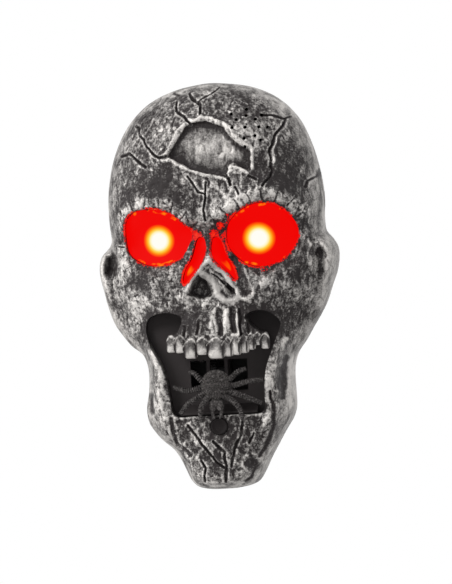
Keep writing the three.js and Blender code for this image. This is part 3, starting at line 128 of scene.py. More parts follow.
REACH_SHARES = [
    (-1, 0.24), (-0.95, 0.28), (-0.85, 0.38), (-0.72, 0.5), (-0.66, 0.57), (-0.5, 0.6),
    (-0.4, 0.61), (-0.3, 0.68), (-0.2, 0.76), (-0.1, 0.83), (0, 0.86), (0.2, 0.88),
    (0.42, 0.9), (0.54, 0.88), (0.67, 0.82), (0.8, 0.72), (0.91, 0.56), (1, 0.4),
]
ROUNDING_SHARES = [
    (-1, 0.1), (-0.9, 0.12), (-0.6, 0.14), (-0.35, 0.16), (-0.2, 0.2), (0, 0.18),
    (0.15, 0.13), (0.24, 0.18), (0.35, 0.34), (0.6, 0.5), (1, 0.6),
]
ARCH_POWER = 2.2

# Bones and hollows: the line, its radius as a share of half the width, its rise as one of depth.
BONE_SHARES = [
    ([(-0.74, 0.39), (-0.6, 0.43), (-0.4, 0.445), (-0.24, 0.42), (-0.12, 0.35)], 0.1, 0.07),
    ([(0.8, 0.39), (0.66, 0.44), (0.49, 0.455), (0.32, 0.42), (0.15, 0.35)], 0.1, 0.07),
    ([(-0.77, 0.3), (-0.77, 0.2), (-0.68, 0.1), (-0.46, 0.05), (-0.27, 0.07)], 0.09, 0.05),
    ([(0.8, 0.3), (0.79, 0.2), (0.71, 0.09), (0.46, 0.03), (0.28, 0.06)], 0.09, 0.05),
    ([(0, 0.3), (0.01, 0.22), (0.018, 0.135)], 0.1, 0.07),
    ([(0.018, 0.135), (-0.08, 0.07), (-0.17, 0.005), (-0.22, -0.05)], 0.07, 0.055),
    ([(0.018, 0.135), (0.12, 0.075), (0.23, 0.005), (0.3, -0.06)], 0.07, 0.055),
    ([(-0.42, -0.02), (-0.62, -0.02), (-0.8, 0.08)], 0.16, 0.09),
    ([(0.45, -0.04), (0.64, -0.03), (0.82, 0.08)], 0.16, 0.09),
    ([(-0.62, -0.17), (-0.72, -0.14)], 0.13, -0.04),
    ([(0.64, -0.17), (0.72, -0.14)], 0.13, -0.04),
    ([(-0.32, -0.2), (0.03, -0.22), (0.36, -0.2)], 0.2, 0.05),
    ([(-0.52, -0.3), (-0.5, -0.45), (-0.48, -0.6), (-0.42, -0.7)], 0.08, 0.09),
    ([(0.53, -0.32), (0.49, -0.45), (0.48, -0.6), (0.42, -0.7)], 0.08, 0.09),
    ([(0.55, -0.45), (0.545, -0.56)], 0.035, -0.06),
    ([(-0.57, -0.56), (-0.57, -0.61)], 0.035, -0.04),
    ([(-0.1, -0.88), (0.14, -0.88)], 0.2, 0.03),
    ([(-0.93, 0.17), (-0.96, 0.08), (-0.91, -0.05)], 0.05, 0.12),
    ([(0.94, 0.19), (0.98, 0.12), (0.94, 0)], 0.05, 0.12),
    ([(-0.85, 0.15), (-0.86, 0.1)], 0.06, -0.14),
    ([(0.88, 0.14), (0.88, 0.06)], 0.05, -0.08),
]

LEFT_SOCKET_SHARES = [
    (-0.703, 0.246), (-0.687, 0.334), (-0.617, 0.377), (-0.508, 0.389), (-0.399, 0.386),
    (-0.301, 0.364), (-0.212, 0.318), (-0.125, 0.262), (-0.16, 0.2), (-0.226, 0.144),
    (-0.32, 0.117), (-0.463, 0.106), (-0.586, 0.129), (-0.675, 0.171),
]
RIGHT_SOCKET_SHARES = [
    (0.15, 0.235), (0.172, 0.297), (0.25, 0.349), (0.353, 0.386), (0.454, 0.398),
    (0.57, 0.385), (0.651, 0.348), (0.714, 0.297), (0.735, 0.237), (0.697, 0.179),
    (0.643, 0.136), (0.566, 0.103), (0.43, 0.082), (0.306, 0.1), (0.217, 0.142), (0.165, 0.185),
]
LEFT_WEDGE_SHARES = [
    (-0.07, 0.232), (-0.035, 0.23), (-0.022, 0.17), (-0.05, 0.125), (-0.13, 0.07),
    (-0.205, 0.02), (-0.19, 0.075), (-0.13, 0.14),
]
RIGHT_WEDGE_SHARES = [
    (0.055, 0.232), (0.09, 0.228), (0.14, 0.15), (0.19, 0.09), (0.222, 0.03),
    (0.15, 0.075), (0.07, 0.125), (0.042, 0.17),
]
MOUTH_LEFT_SHARES = [
    (-0.2, -0.636), (-0.33, -0.636), (-0.365, -0.62), (-0.385, -0.55), (-0.405, -0.45),
    (-0.45, -0.37), (-0.52, -0.29), (-0.565, -0.21), (-0.545, -0.155), (-0.46, -0.127),
    (-0.33, -0.125),
]
UPPER_JAW_SHARES = [
    (-0.24, -0.15), (-0.27, -0.215), (-0.34, -0.25), (-0.36, -0.285), (-0.19, -0.31),
    (0.04, -0.325), (0.25, -0.31), (0.44, -0.28), (0.44, -0.25), (0.35, -0.215), (0.28, -0.155),
]
MOUTH_RIGHT_SHARES = [
    (0.36, -0.13), (0.47, -0.137), (0.555, -0.19), (0.53, -0.25), (0.49, -0.32),
    (0.435, -0.4), (0.405, -0.5), (0.395, -0.615), (0.36, -0.632), (0.2, -0.634), (0.02, -0.636),
]
SOUND_HOLE_SHARES = [
    (0.349, 0.856), (0.232, 0.835), (0.351, 0.825), (0.466, 0.826), (0.276, 0.807),
    (0.424, 0.806), (0.246, 0.768), (0.347, 0.768), (0.454, 0.767), (0.519, 0.763),
    (0.426, 0.724), (0.342, 0.713), (0.468, 0.701), (0.35, 0.671),
]

# Carved lines in the plastic, in millimetres across and up, each with its depth and half width.
CRACKS = [
    ([(-17.5, 112.5), (-16.5, 107), (-12, 104), (-10, 100.5), (-7.5, 99)], 1.7, 0.58),
    ([(-9.5, 117), (-7.5, 113.5), (-4, 112), (-1.5, 110.5), (-1.5, 104.5)], 1.6, 0.55),
    ([(-4, 112), (-0.5, 114.5), (3.5, 117), (7.5, 120.5)], 1.2, 0.47),
    ([(-43.5, 98.5), (-41, 97), (-40, 93.5), (-36.5, 90.5), (-35.5, 85.5), (-30, 81.5),
      (-26.5, 79), (-22, 79.5)], 1.7, 0.58),
    ([(-53, 81.5), (-47.5, 83), (-44, 79.5), (-39, 76.5), (-36, 73.5)], 1.6, 0.55),
    ([(-9, 66.5), (-6, 62), (-3, 57), (0, 55)], 1.3, 0.47),
    ([(1, 63), (0.5, 57), (0.5, 51), (-0.5, 45.5), (1, 39.5)], 1.5, 0.51),
    ([(14, 66), (16, 63.5), (16.5, 60.5)], 1.7, 0.62),
    ([(34.5, 102), (41, 102), (46, 99.5), (50, 100.5)], 1.5, 0.51),
    ([(47.5, 99), (46, 95), (43, 90), (40.5, 81.5), (40, 73), (41.5, 69), (39.5, 63.5),
      (36, 60)], 1.5, 0.58),
    ([(68, 70), (64.5, 67.5), (64, 64), (60.5, 61.5), (59.5, 58)], 1.6, 0.58),
    ([(19.5, 59), (21, 55)], 1.2, 0.55),
    ([(27.5, 65.5), (32.5, 63)], 1.2, 0.47),
    ([(-21, 118.5), (-17, 117)], 1.0, 0.55),
    ([(-57, 26), (-53, 25.5)], 1.0, 0.39),
    ([(-17.5, -84), (-14.5, -89), (-10, -96), (-4.5, -103.5), (2.5, -111)], 1.5, 0.58),
    ([(-3, -94.5), (0.5, -97.5), (3.5, -101), (4, -107.5), (3, -119.5)], 1.5, 0.62),
    ([(16, -79), (15, -86), (14, -93), (10, -99), (9, -104), (7, -110)], 1.5, 0.62),
    ([(-10.5, -106), (-9, -110), (-10, -119)], 1.4, 0.58),
    ([(21.5, -90.5), (19, -96.5)], 1.3, 0.55),
    ([(-27.5, -80), (-27.5, -85.5), (-26, -94.5), (-18, -102.5)], 0.9, 0.9),
    ([(33, -66), (34.5, -74), (34.5, -79.5), (32.5, -88.5), (28, -97), (23.5, -104.5)], 1.6, 0.75),
    ([(20, -112.5), (18, -117), (14.5, -119.5)], 1.0, 0.62),
    ([(19.5, -108), (20.5, -110)], 2.2, 2.4),
    ([(2.4, 7.5), (6, 4), (9.3, 1.5)], 1.0, 0.47),
    ([(6, -15), (5.5, -22), (6.5, -28.5)], 1.6, 1.3),
    ([(13.2, -14.5), (13.7, -22), (14.7, -27.5)], 1.6, 1.2),
    ([(18, -15), (18.5, -27), (19, -32)], 1.4, 0.62),
    ([(22.5, -19.5), (23.5, -29)], 1.4, 0.62),
    ([(28, -23), (30, -30)], 1.3, 0.9),
    ([(-7, -21), (-8.5, -29)], 1.0, 0.62),
    ([(-16, -24), (-17, -30)], 1.0, 0.62),
    ([(43, -45), (40.4, -52), (38.8, -60), (39.8, -70)], 1.2, 0.9),
    ([(40.2, -52), (39, -57), (39, -63)], 1.2, 1.7),
    ([(15.5, 16), (18.5, 8), (21, 0), (23, -5)], 1.8, 1.9),
    ([(-42, -66), (-41, -74)], 1.0, 1.6),
]
# Raised lips, in the same way.
LIPS = [
    ([(-8.5, 101.5), (-4.5, 101), (-0.5, 103), (5.5, 101), (12, 98.5), (16.5, 95.5), (18.5, 91),
      (24.5, 86), (29.5, 83), (30, 69.5)], 1.1, 0.85),
    ([(-11.5, 98.5), (-17, 91), (-21.5, 83.5), (-23, 79.5)], 0.9, 0.75),
    ([(-24.5, 77), (-19.5, 77.5), (-13.5, 74), (-7.5, 70), (2, 67), (11, 65), (14, 63)], 1.1, 0.8),
    ([(15.5, 71), (18, 73), (23.5, 69.5), (27.5, 67)], 0.9, 0.8),
    ([(43.5, 88), (42.2, 81), (42, 73)], 1.0, 0.7),
    ([(9.7, -15), (10, -22), (10.5, -28)], 0.9, 1.1),
    ([(16.2, -15), (16.4, -23), (17, -30)], 0.8, 0.8),
    ([(20.8, -17), (21.3, -27)], 0.7, 0.8),
    ([(26, -21), (27, -30)], 0.7, 0.9),
    ([(1.2, -16), (0.6, -24), (1.8, -30)], 0.7, 1.3),
    ([(43, -34.5), (38.5, -44), (34, -53.5), (31.5, -62), (30, -70.5)], 1.0, 1.6),
    ([(46.5, -44), (43.6, -51), (42.2, -60), (43.8, -70), (40.5, -79)], 1.1, 1.2),
    ([(-39.5, -38), (-33.5, -50), (-31, -64)], 0.8, 1.6),
    ([(-26, -79.8), (-10, -79.6)], 0.5, 0.8),
    ([(8, -79.4), (30, -79.2)], 0.5, 0.8),
    ([(-9, -119.4), (2, -120.2), (14, -119.2)], 0.6, 0.9),
]
NOSE_LIPS = [
    ([(-14.4, -2.6), (-11, 3), (-7.3, 8.2), (1, 16.1), (10.2, 6.4), (17.6, -5.5)], 1.4, 1.1),
    ([(-3.4, 8), (2.8, 1.4), (5, -5), (9, -9), (13.8, -10), (18, -7.5)], 1.3, 1.9),
]
FOREHEAD_HOLE = [
    (-7.5, 99), (-2.5, 100), (2.5, 100), (9, 97.5), (13, 95.5), (16, 91), (20.5, 86.5), (25, 83),
    (28.5, 80), (28.5, 68.5), (22, 71), (16.5, 73), (14.5, 68), (13.5, 65.5), (2, 68), (-7.5, 71),
    (-11.5, 73), (-15.5, 76), (-21.5, 79), (-17, 87), (-11, 96.5),
]
FOREHEAD_DROP = 4.6
LEFT_NOSTRIL = [(-6.1, 6.5), (-1.4, 2.9), (0.8, -2.7), (0.9, -6), (-6.2, -7.4), (-12, -5), (-11.4, -0.2)]
RIGHT_NOSTRIL = [(8, 2.8), (12, 1.4), (16.2, -2.6), (16, -5.2), (12.5, -4.8), (9.5, -1.2)]
NOSTRIL_DROP = 7.0
LEFT_BROW = [(-52, 45), (-46, 49.5), (-39.5, 50.5), (-29, 51), (-19, 48), (-11.5, 43), (-7, 37)]
RIGHT_BROW = [(7, 38), (11, 43.5), (16.5, 47.5), (26.5, 52.5), (39, 54.5), (50, 50), (57, 42.5)]

# Teeth: middle and lower edge in millimetres, then width, height and how far they stand out.
TEETH = [
    (-24.6, -39.4, 7.3, 11, 2.2), (-18.9, -40, 7.3, 12, 2.4), (-12.4, -43.6, 8.8, 13.5, 2.8),
    (-5, -41.6, 8.4, 12, 2.5), (3.4, -44.2, 11.4, 14.5, 3), (10.6, -43.2, 6.6, 13, 2.6),
    (15.3, -42.6, 6.2, 14, 2.8), (20, -41.6, 5.9, 12.5, 2.4), (24.2, -39.8, 5.3, 11, 2.2),
    (28, -37.2, 4.8, 8.5, 2), (32.2, -39.6, 5.7, 10.5, 2.2),
]

# Patches of tone, partly the paint's own uneven brushing and partly painted light and painted shade: middle,
# radius and how much more or less silver each holds.
TONE_LIGHT_AND_SHADE_PATCHES = [
    ((-33, 64), 15, -0.3), ((-22, 60), 9, -0.2), ((48, 60), 13, -0.26), ((36, 60), 8, -0.2),
    ((26, 110), 14, -0.16), ((10, 115), 12, -0.1), ((14.5, 82), 8, 0.4), ((0, 84), 9, 0.4),
    ((-48, 80), 12, 0.06), ((-30, 94), 11, 0.1), ((28, 91), 10, 0.3), ((8, 55), 11, 0.16),
    ((-33, 51), 8, 0.16), ((-46, 46), 7, 0.14), ((24, 50), 8, 0.16), ((40, 54), 9, 0.2),
    ((52, 47), 7, 0.12), ((-56, -4), 11, 0.1), ((-44, -14), 10, 0.24), ((-42, 8), 9, -0.34),
    ((-30, 2), 8, -0.12), ((46, 8), 10, -0.3), ((44, -12), 9, 0.04), ((52, -20), 9, -0.24),
    ((-2, 14), 4, 0.2), ((10, 10), 4, 0.2), ((-12, -8), 6, 0.16), ((3, -10), 5, 0.3),
    ((-13, -21), 7, -0.42), ((30, 12), 8, -0.2), ((8, -28), 7, 0.16), ((-38, -22), 9, -0.4),
    ((-24, -20), 7, -0.4), ((36, -18), 9, -0.4), ((20, -16), 6, -0.4), ((20, 0), 5, -0.4),
    ((26, -24), 7, -0.34), ((-63, 15.5), 4.6, -0.7), ((64, 15), 8, 0.5), ((66, 0), 8, 0.2),
    ((-38, -68), 10, 0.24), ((8, -94), 14, -0.14), ((-12, -112), 9, 0.08), ((20, -110), 4, -0.3),
    ((45, 76), 13, -0.24), ((-42, 105), 11, -0.4), ((-48, 57), 9, -0.16), ((35, -40), 6, -0.2),
    ((62, -12), 6, 0.16), ((33, 2), 5, 0.2), ((7.5, 37), 4, -0.5), ((56, 38), 5, -0.3),
    ((-8, 40), 4, -0.34), ((1, 24), 4, -0.3), ((13, 22), 3.5, -0.3), ((-54, -34), 8, 0.16),
    ((-45, -12), 8, 0.14), ((-30, -15), 5, 0.24), ((34, -13), 6, 0.26),
    ((60, 5), 8, -0.2), ((47, 56), 6, -0.2), ((-60, 78), 8, -0.25), ((-6, -92), 8, -0.2),
    ((0, -100), 8, -0.12), ((18, 78), 5, 0.16), ((12, -86), 6, -0.2),
    ((-52, 66), 8, 0.12), ((-27, 73), 5, 0.1), ((9, 0), 4, 0.3), ((28, 76), 4, -0.2),
    ((-12, -92), 10, 0.12), ((48, -60), 4, 0.16), ((38, 114), 7, 0.24), ((0, 41), 5, 0.26),
    ((-55, 17), 6, 0.3), ((56, 19), 8, -0.45), ((-46, -18), 6, 0.24), ((-37, -46), 7, 0.3),
    ((-48, -75), 6, 0.3), ((-30, 58), 5, -0.16), ((39.5, -57), 8, 0.3), ((47, -14), 4, 0.2),
]

# Red light that falls on the face between its openings: middle, radius and strength.
RED_LIGHT = [
    ((-6.5, 31), 4.0, 0.95), ((4.8, 31.0), 4.0, 0.9), ((8.6, 36), 3.4, 0.8), ((34, 8.5), 3.4, 0.44),
    ((40, 12.5), 2.6, 0.5), ((-10.5, 33.5), 3.4, 0.9), ((14, 42), 2.6, 0.6), ((9.5, 30), 2.4, 0.66),
]

# Spider: each leg's route across, up and towards the viewer, in radii of the abdomen
LEG_SHARES = [
    [(-0.6, 0.1, -0.2), (-1.15, 0.45, 0.1), (-1.6, 0.95, 0.15), (-1.95, 1.05, -0.1)],
    [(-0.7, -0.1, -0.1), (-1.3, -0.2, 0.2), (-2.2, -0.35, 0.25), (-3.25, -0.05, -0.3)],
    [(-0.7, -0.45, 0.1), (-1.3, -0.85, 0.35), (-2.1, -1.3, 0.35), (-2.8, -2.05, -0.05)],
    [(-0.4, -0.7, 0.2), (-0.85, -1.2, 0.5), (-1.22, -1.9, 0.45), (-1.2, -2.75, 0.2)],
    [(0.6, 0.1, -0.2), (1.15, 0.45, 0.1), (1.75, 0.95, 0.15), (2.3, 1.15, -0.1)],
    [(0.7, -0.1, -0.1), (1.3, -0.1, 0.2), (2.4, 0.15, 0.25), (3.5, 0.25, -0.3)],
    [(0.7, -0.45, 0.1), (1.3, -0.6, 0.35), (2.3, -1, 0.35), (3.4, -1.5, -0.05)],
    [(0.4, -0.7, 0.2), (1.1, -1.1, 0.5), (1.75, -1.8, 0.45), (1.95, -2.75, 0.2)],
]
SPIDER_MIDDLE = np.array([1.0, 50.0, -60.2])
ABDOMEN_RADIUS = 8.0
ABDOMEN_STRETCH = (1, 0.95, 1)
LEG_RADIUS = 1.75
LEG_RIB_PITCH = 1.25
LEG_RIB_RISE = 0.2
BRISTLES_PER_SQUARE_METRE = 3.2e6
BRISTLE_LEAN = 0.35
# Fangs: places across from the middle and down from the head
FANG_ROUTE = [(2.5, 1.9), (2.7, 4.5), (2.3, 7.2), (1.5, 8.8)]
SCREW_PITCH = 0.9
# Rings of the hollow behind the face, and how far the LED's glow reaches over its lens
CORE_RING_SHARES = [1, 0.95, 0.88, 0.76, 0.62, 0.48, 0.34, 0.18]
LED_SPREAD = 12.5

# Camera: what it looks at, its turn to the right, its roll, how far it stands and how much it sees
CAMERA_TARGET = (7.6, -35.0, -4.1)
CAMERA_TURN = math.radians(8.0)
CAMERA_ROLL = math.radians(2.6)
CAMERA_DISTANCE = 5.0
VIEW_HEIGHT = 0.3553
SENSOR = 36.0

# Lamps: place and size in metres, and power. They aim at the middle of the face.
LAMPS = [
    ("key", (-0.65, -0.9, 0.6), 0.5, 8.5), ("fill", (0.8, -0.9, 0.1), 0.7, 1.3),
    ("top", (-0.1, -0.25, 0.9), 0.5, 3.5), ("left_side", (-0.9, -0.3, 0.0), 0.6, 4.4),
    ("right_side", (0.9, -0.1, 0.2), 0.6, 1.2),
]
LAMP_AIM = Vector((0, -0.03, 0))
SURROUND_LIGHT = 0.34

# Moulded finishes: colour, lighter colour, roughness, grain and its height in mm, and shine.
MOULDED = {
    "black_abs": ("151312", "1d1b1a", 0.5, 0.9, 0.05, 0.25),
    "black_acetal": ("121111", "191717", 0.45, 0.8, 0.02, 0.25),
    "white_acetal": ("dedbd2", "e9e6df", 0.38, 1.0, 0.02, 0.25),
    "dark_cell_jacket": ("30343a", "3a3f46", 0.32, 2.0, 0.01, 0.25),
    "pressed_paper": ("262627", "323233", 0.9, 0.7, 0.12, 0.25),
    "red_vinyl": ("8f1a13", "a3251b", 0.45, 0.8, 0.02, 0.25),
    "diffused_white_resin": ("f2efe8", "ffffff", 0.25, 1.0, 0.01, 0.25),
}
# Plated finishes: colour and roughness.
PLATED = {"zinc_plated_steel": ("b4b4b0", 0.36), "nickel_plated_spring_steel": ("c6c3b8", 0.28)}
SLOT_FINISHES = {
    "black_plastic": "black_abs", "white_plastic": "white_acetal", "zinc_steel": "zinc_plated_steel",
    "spring_steel": "nickel_plated_spring_steel", "cell_jacket": "dark_cell_jacket",
    "speaker_paper": "pressed_paper", "lead_jacket": "red_vinyl",
    "board_laminate": "green_solder_mask", "spider_rubber": "black_abs", "red_lens": "black_abs",
    "silvered_plastic": "black_abs",
}
NODE_FINISHES = {
    "mechanism_housing": "black_abs_mouth_liner", "led_left": "diffused_white_resin",
    "led_right": "diffused_white_resin", "spider_arm": "black_acetal", "drive_gear": "black_acetal",
    "motor_pinion": "black_acetal",
}

# Colour ramps: places with their share of silver over charcoal, or of the lens's own red, then
# the colours where the lamp shines through.
SILVER_SHARES = [(0.0, 0.0), (0.16, 0.047), (0.34, 0.158), (0.54, 0.351), (0.76, 0.656), (1.0, 1.0)]
RED_SHARES = [(0.0, 0.71), (0.16, 0.945), (0.44, 1.0)]
LAMP_COLOURS = [(0.5, "ff5a00"), (0.56, "ff9c10"), (0.63, "ffd850"), (0.69, "fff4c0"), (0.76, "fffdf4")]


# Curves and fields


def box_mm(node):
    """Lowest and highest corner of a CAD node, in millimetres."""
    low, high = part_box(node)
    return np.array(low) / MM, np.array(high) / MM


def smooth_at(table, heights):
    """A table's values at some heights, on a smooth curve through its rows."""
    at, share = np.array(table, float).T
    rows = np.arange(len(at))
    after, before = np.minimum(rows + 1, len(at) - 1), np.maximum(rows - 1, 0)
    slope = (share[after] - share[before]) / (at[after] - at[before])
    heights = np.clip(heights, at[0], at[-1])
    high = np.clip(np.searchsorted(at, heights, side="right"), 1, len(at) - 1)
    low = high - 1
    span = at[high] - at[low]
    t = (heights - at[low]) / span
    rest = 1 - t
    return (share[low] * rest * rest * (1 + 2 * t) + share[high] * t * t * (3 - 2 * t)
            + t * rest * (rest * slope[low] - t * slope[high]) * span)


def place(shares):
    return np.array(shares, float) * (HALF_WIDTH, HALF_HEIGHT)


def smooth_line(points, steps, closed, fineness=16):
    """Points at equal steps along a centripetal curve through some points."""
    points = np.array(points, float)
    if closed:
        padded = np.concatenate([points[-1:], points, points[:2]])
    else:
        padded = np.concatenate([2 * points[:1] - points[1:2], points, 2 * points[-1:] - points[-2:-1]])
    fine = []
    for a, b, c, d in zip(padded, padded[1:], padded[2:], padded[3:]):
        t1 = np.linalg.norm(b - a) ** 0.5
        t2 = t1 + np.linalg.norm(c - b) ** 0.5
        t3 = t2 + np.linalg.norm(d - c) ** 0.5
        t = np.linspace(t1, t2, fineness, endpoint=False)[:, None]
        ab = (t1 - t) / t1 * a + t / t1 * b
        bc = (t2 - t) / (t2 - t1) * b + (t - t1) / (t2 - t1) * c
        cd = (t3 - t) / (t3 - t2) * c + (t - t2) / (t3 - t2) * d
        abc = (t2 - t) / t2 * ab + t / t2 * bc
        bcd = (t3 - t) / (t3 - t1) * bc + (t - t1) / (t3 - t1) * cd
        fine.append((t2 - t) / (t2 - t1) * abc + (t - t1) / (t2 - t1) * bcd)
    fine = np.concatenate(fine + [points[:1] if closed else points[-1:]])
    walked = np.concatenate([[0], np.cumsum(np.linalg.norm(np.diff(fine, axis=0), axis=1))])
    wanted = np.linspace(0, walked[-1], steps, endpoint=not closed)
    return np.stack([np.interp(wanted, walked, fine[:, k]) for k in range(fine.shape[1])], axis=1)


def closed_curve(shares, steps):
    """A closed outline in millimetres, anticlockwise seen from the front."""
    points = smooth_line(place(shares), steps, True)
    x, z = points.T
    turning = np.sum(x * np.roll(z, -1) - z * np.roll(x, -1))
    return points if turning > 0 else points[::-1]


def grown(points, distance):
    """An outline moved outwards."""
    along = np.roll(points, -1, axis=0) - np.roll(points, 1, axis=0)
    along /= np.linalg.norm(along, axis=1)[:, None]
    return points + np.stack([along[:, 1], -along[:, 0]], axis=1) * distance


def circle(x, z, radius, sides):
    turns = np.linspace(0, 2 * math.pi, sides, endpoint=False)
    return np.stack([x + radius * np.cos(turns), z + radius * np.sin(turns)], axis=1)


def distance_to_line(x, z, points, closed=False):
    points = np.array(points, float)
    ends = np.roll(points, -1, axis=0) if closed else points[1:]
    least = np.full(np.shape(x), np.inf)
    for (ax, az), (bx, bz) in zip(points, ends):
        dx, dz = bx - ax, bz - az
        t = np.clip(((x - ax) * dx + (z - az) * dz) / (dx * dx + dz * dz), 0, 1)
        least = np.minimum(least, np.hypot(x - ax - t * dx, z - az - t * dz))
    return least


def inside(x, z, points):
    """True where a place is inside a closed outline."""
    points = np.array(points, float)
    within = np.zeros(np.shape(x), bool)
    for (ax, az), (bx, bz) in zip(points, np.roll(points, -1, axis=0)):
        if az == bz:
            continue
        crosses = (az > z) != (bz > z)
        within ^= crosses & (x < ax + (z - az) * (bx - ax) / (bz - az))
    return within


def ramp(value, low, high):
    """0 below low and 1 above high, with a smooth rise between them."""
    t = np.clip((value - low) / (high - low), 0, 1)
    return t * t * (3 - 2 * t)


def near(away, radius, power=2):
    """1 at no distance, falling towards 0 past a radius, more steeply with a higher power."""
    return np.exp(-(away / radius) ** power)

HASH_PRIMES = (73856093, 19349663, 83492791)
SEED_PRIME = 2654435761
HASH_ROUNDS = ((13, 1274126177), (15, 2246822519))


def random_field(points, size, seed):
    """Smooth random values from -1 to 1, with lumps of the given size in millimetres."""
    cell = points / size
    base = np.floor(cell).astype(np.int64)
    part = cell - base
    part = part * part * (3 - 2 * part)
    total = np.zeros(len(points))
    for corner in np.ndindex(2, 2, 2):
        mixed = np.bitwise_xor.reduce((base + corner) * HASH_PRIMES, axis=1) ^ seed * SEED_PRIME
        for shift, prime in HASH_ROUNDS:
            mixed = (mixed ^ (mixed >> shift)) * prime & 0xFFFFFFFF
        value = (mixed >> 8 & 0xFFFF) / 32767.5 - 1
        total += value * np.prod(np.where(corner, part, 1 - part), axis=1)
    return total


OUTLINE = closed_curve(OUTLINE_SHARES, 240)
LEFT_SOCKET = closed_curve(LEFT_SOCKET_SHARES, 96)
RIGHT_SOCKET = closed_curve(RIGHT_SOCKET_SHARES, 96)
LEFT_WEDGE = grown(closed_curve(LEFT_WEDGE_SHARES, 72), 1.0)
RIGHT_WEDGE = grown(closed_curve(RIGHT_WEDGE_SHARES, 72), 0.8)
MOUTH = closed_curve(MOUTH_LEFT_SHARES + UPPER_JAW_SHARES + MOUTH_RIGHT_SHARES, 200)
MOUTH_SURROUND = closed_curve(MOUTH_LEFT_SHARES + MOUTH_RIGHT_SHARES, 160)

# Lit openings: the lens's node, its outline, the depths of the tube's end and the lens's back,
# and the place of the LED behind it.
LIT_OPENINGS = [
    ("eye_lens_left", LEFT_SOCKET, SOCKET_SEAT, EYE_LENS_BACK, place((-0.419, 0.232))),
    ("eye_lens_right", RIGHT_SOCKET, SOCKET_SEAT, EYE_LENS_BACK, place((0.409, 0.223))),
    ("nose_lens_left", LEFT_WEDGE, WEDGE_SEAT, NOSE_LENS_BACK, None),
    ("nose_lens_right", RIGHT_WEDGE, WEDGE_SEAT, NOSE_LENS_BACK, None),
]
# Hollows that don't go through: outline, drop and width of the soft edge.
HOLLOWS = [
    (FOREHEAD_HOLE, FOREHEAD_DROP, 1.4), (LEFT_NOSTRIL, NOSTRIL_DROP, 2.0),
    (RIGHT_NOSTRIL, NOSTRIL_DROP, 2.0),
]
NOSE_BLOCK = np.array([(-16, -10), (24, -10), (24, 12), (-16, 12)], float)


# Shapes of the face


def face_depth(x, z):
    """Depth of the face's smooth outer surface, in millimetres."""
    height = z / HALF_HEIGHT
    across = np.minimum(np.abs(x) / (smooth_at(REACH_SHARES, height) * HALF_WIDTH), 1)
    centre = smooth_at(CENTRE_DEPTH_SHARES, height)
    side = smooth_at(SIDE_DEPTH_SHARES, height)
    share = side + (centre - side) * (1 - across ** ARCH_POWER)
    for line, radius, rise in BONE_SHARES:
        share = share + rise * near(distance_to_line(x, z, place(line)), radius * HALF_WIDTH)
    rounding = smooth_at(ROUNDING_SHARES, height) * HALF_WIDTH
    inwards = np.minimum(distance_to_line(x, z, OUTLINE, True) / rounding, 1)
    rim = smooth_at(RIM_DEPTH_SHARES, height)
    return FACE_DEPTH * (rim + (share - rim) * np.sqrt(1 - (1 - inwards) ** 2))


def carved_depth(x, z):
    """Depth of the face with its large hollows cut."""
    depth = face_depth(x, z)
    for outline, drop, edge in HOLLOWS:
        away = distance_to_line(x, z, outline, True)
        depth = depth - drop * ramp(np.where(inside(x, z, outline), away, -away), -edge / 2, edge)
    return depth


def core_depth(x, z):
    """Depth of the hollow behind the face: a wall below its lowest place nearby."""
    reach = np.minimum(2 * SHELL_WALL + 0.2, distance_to_line(x, z, OUTLINE, True))
    depth = face_depth(x, z)
    for turn in np.linspace(0, 2 * math.pi, 8, endpoint=False):
        depth = np.minimum(depth, face_depth(x + reach * np.cos(turn), z + reach * np.sin(turn)))
    return depth - SHELL_WALL - 2 * CLEARANCE


def wandered(x, z):
    """Places shifted a little, so that drawn lines run unevenly."""
    flat = np.stack([x, np.zeros(len(x)), z], axis=1)
    return x + 0.7 * random_field(flat, 5.0, 3), z + 0.7 * random_field(flat, 5.0, 4)


def brow_grooves(line, pitch, reach):
    """Short grooves across a brow, at even steps."""
    length = np.sum(np.linalg.norm(np.diff(np.array(line, float), axis=0), axis=1))
    points = smooth_line(line, int(length / pitch), False)
    along = np.gradient(points, axis=0)
    along /= np.linalg.norm(along, axis=1)[:, None]
    across = np.stack([-along[:, 1], along[:, 0]], axis=1)
    return [(p - a * reach, p + a * reach * 0.8) for p, a in zip(points, across)]


def gum_distance(x, z, tooth):
    """Distance above a tooth's gum line, in millimetres, and place across the tooth."""
    tooth_x, low, width, tall, _ = tooth
    across = (x - tooth_x) / (width / 2)
    return z - low - tall * (0.86 - 0.3 * np.abs(across) ** 1.6), across


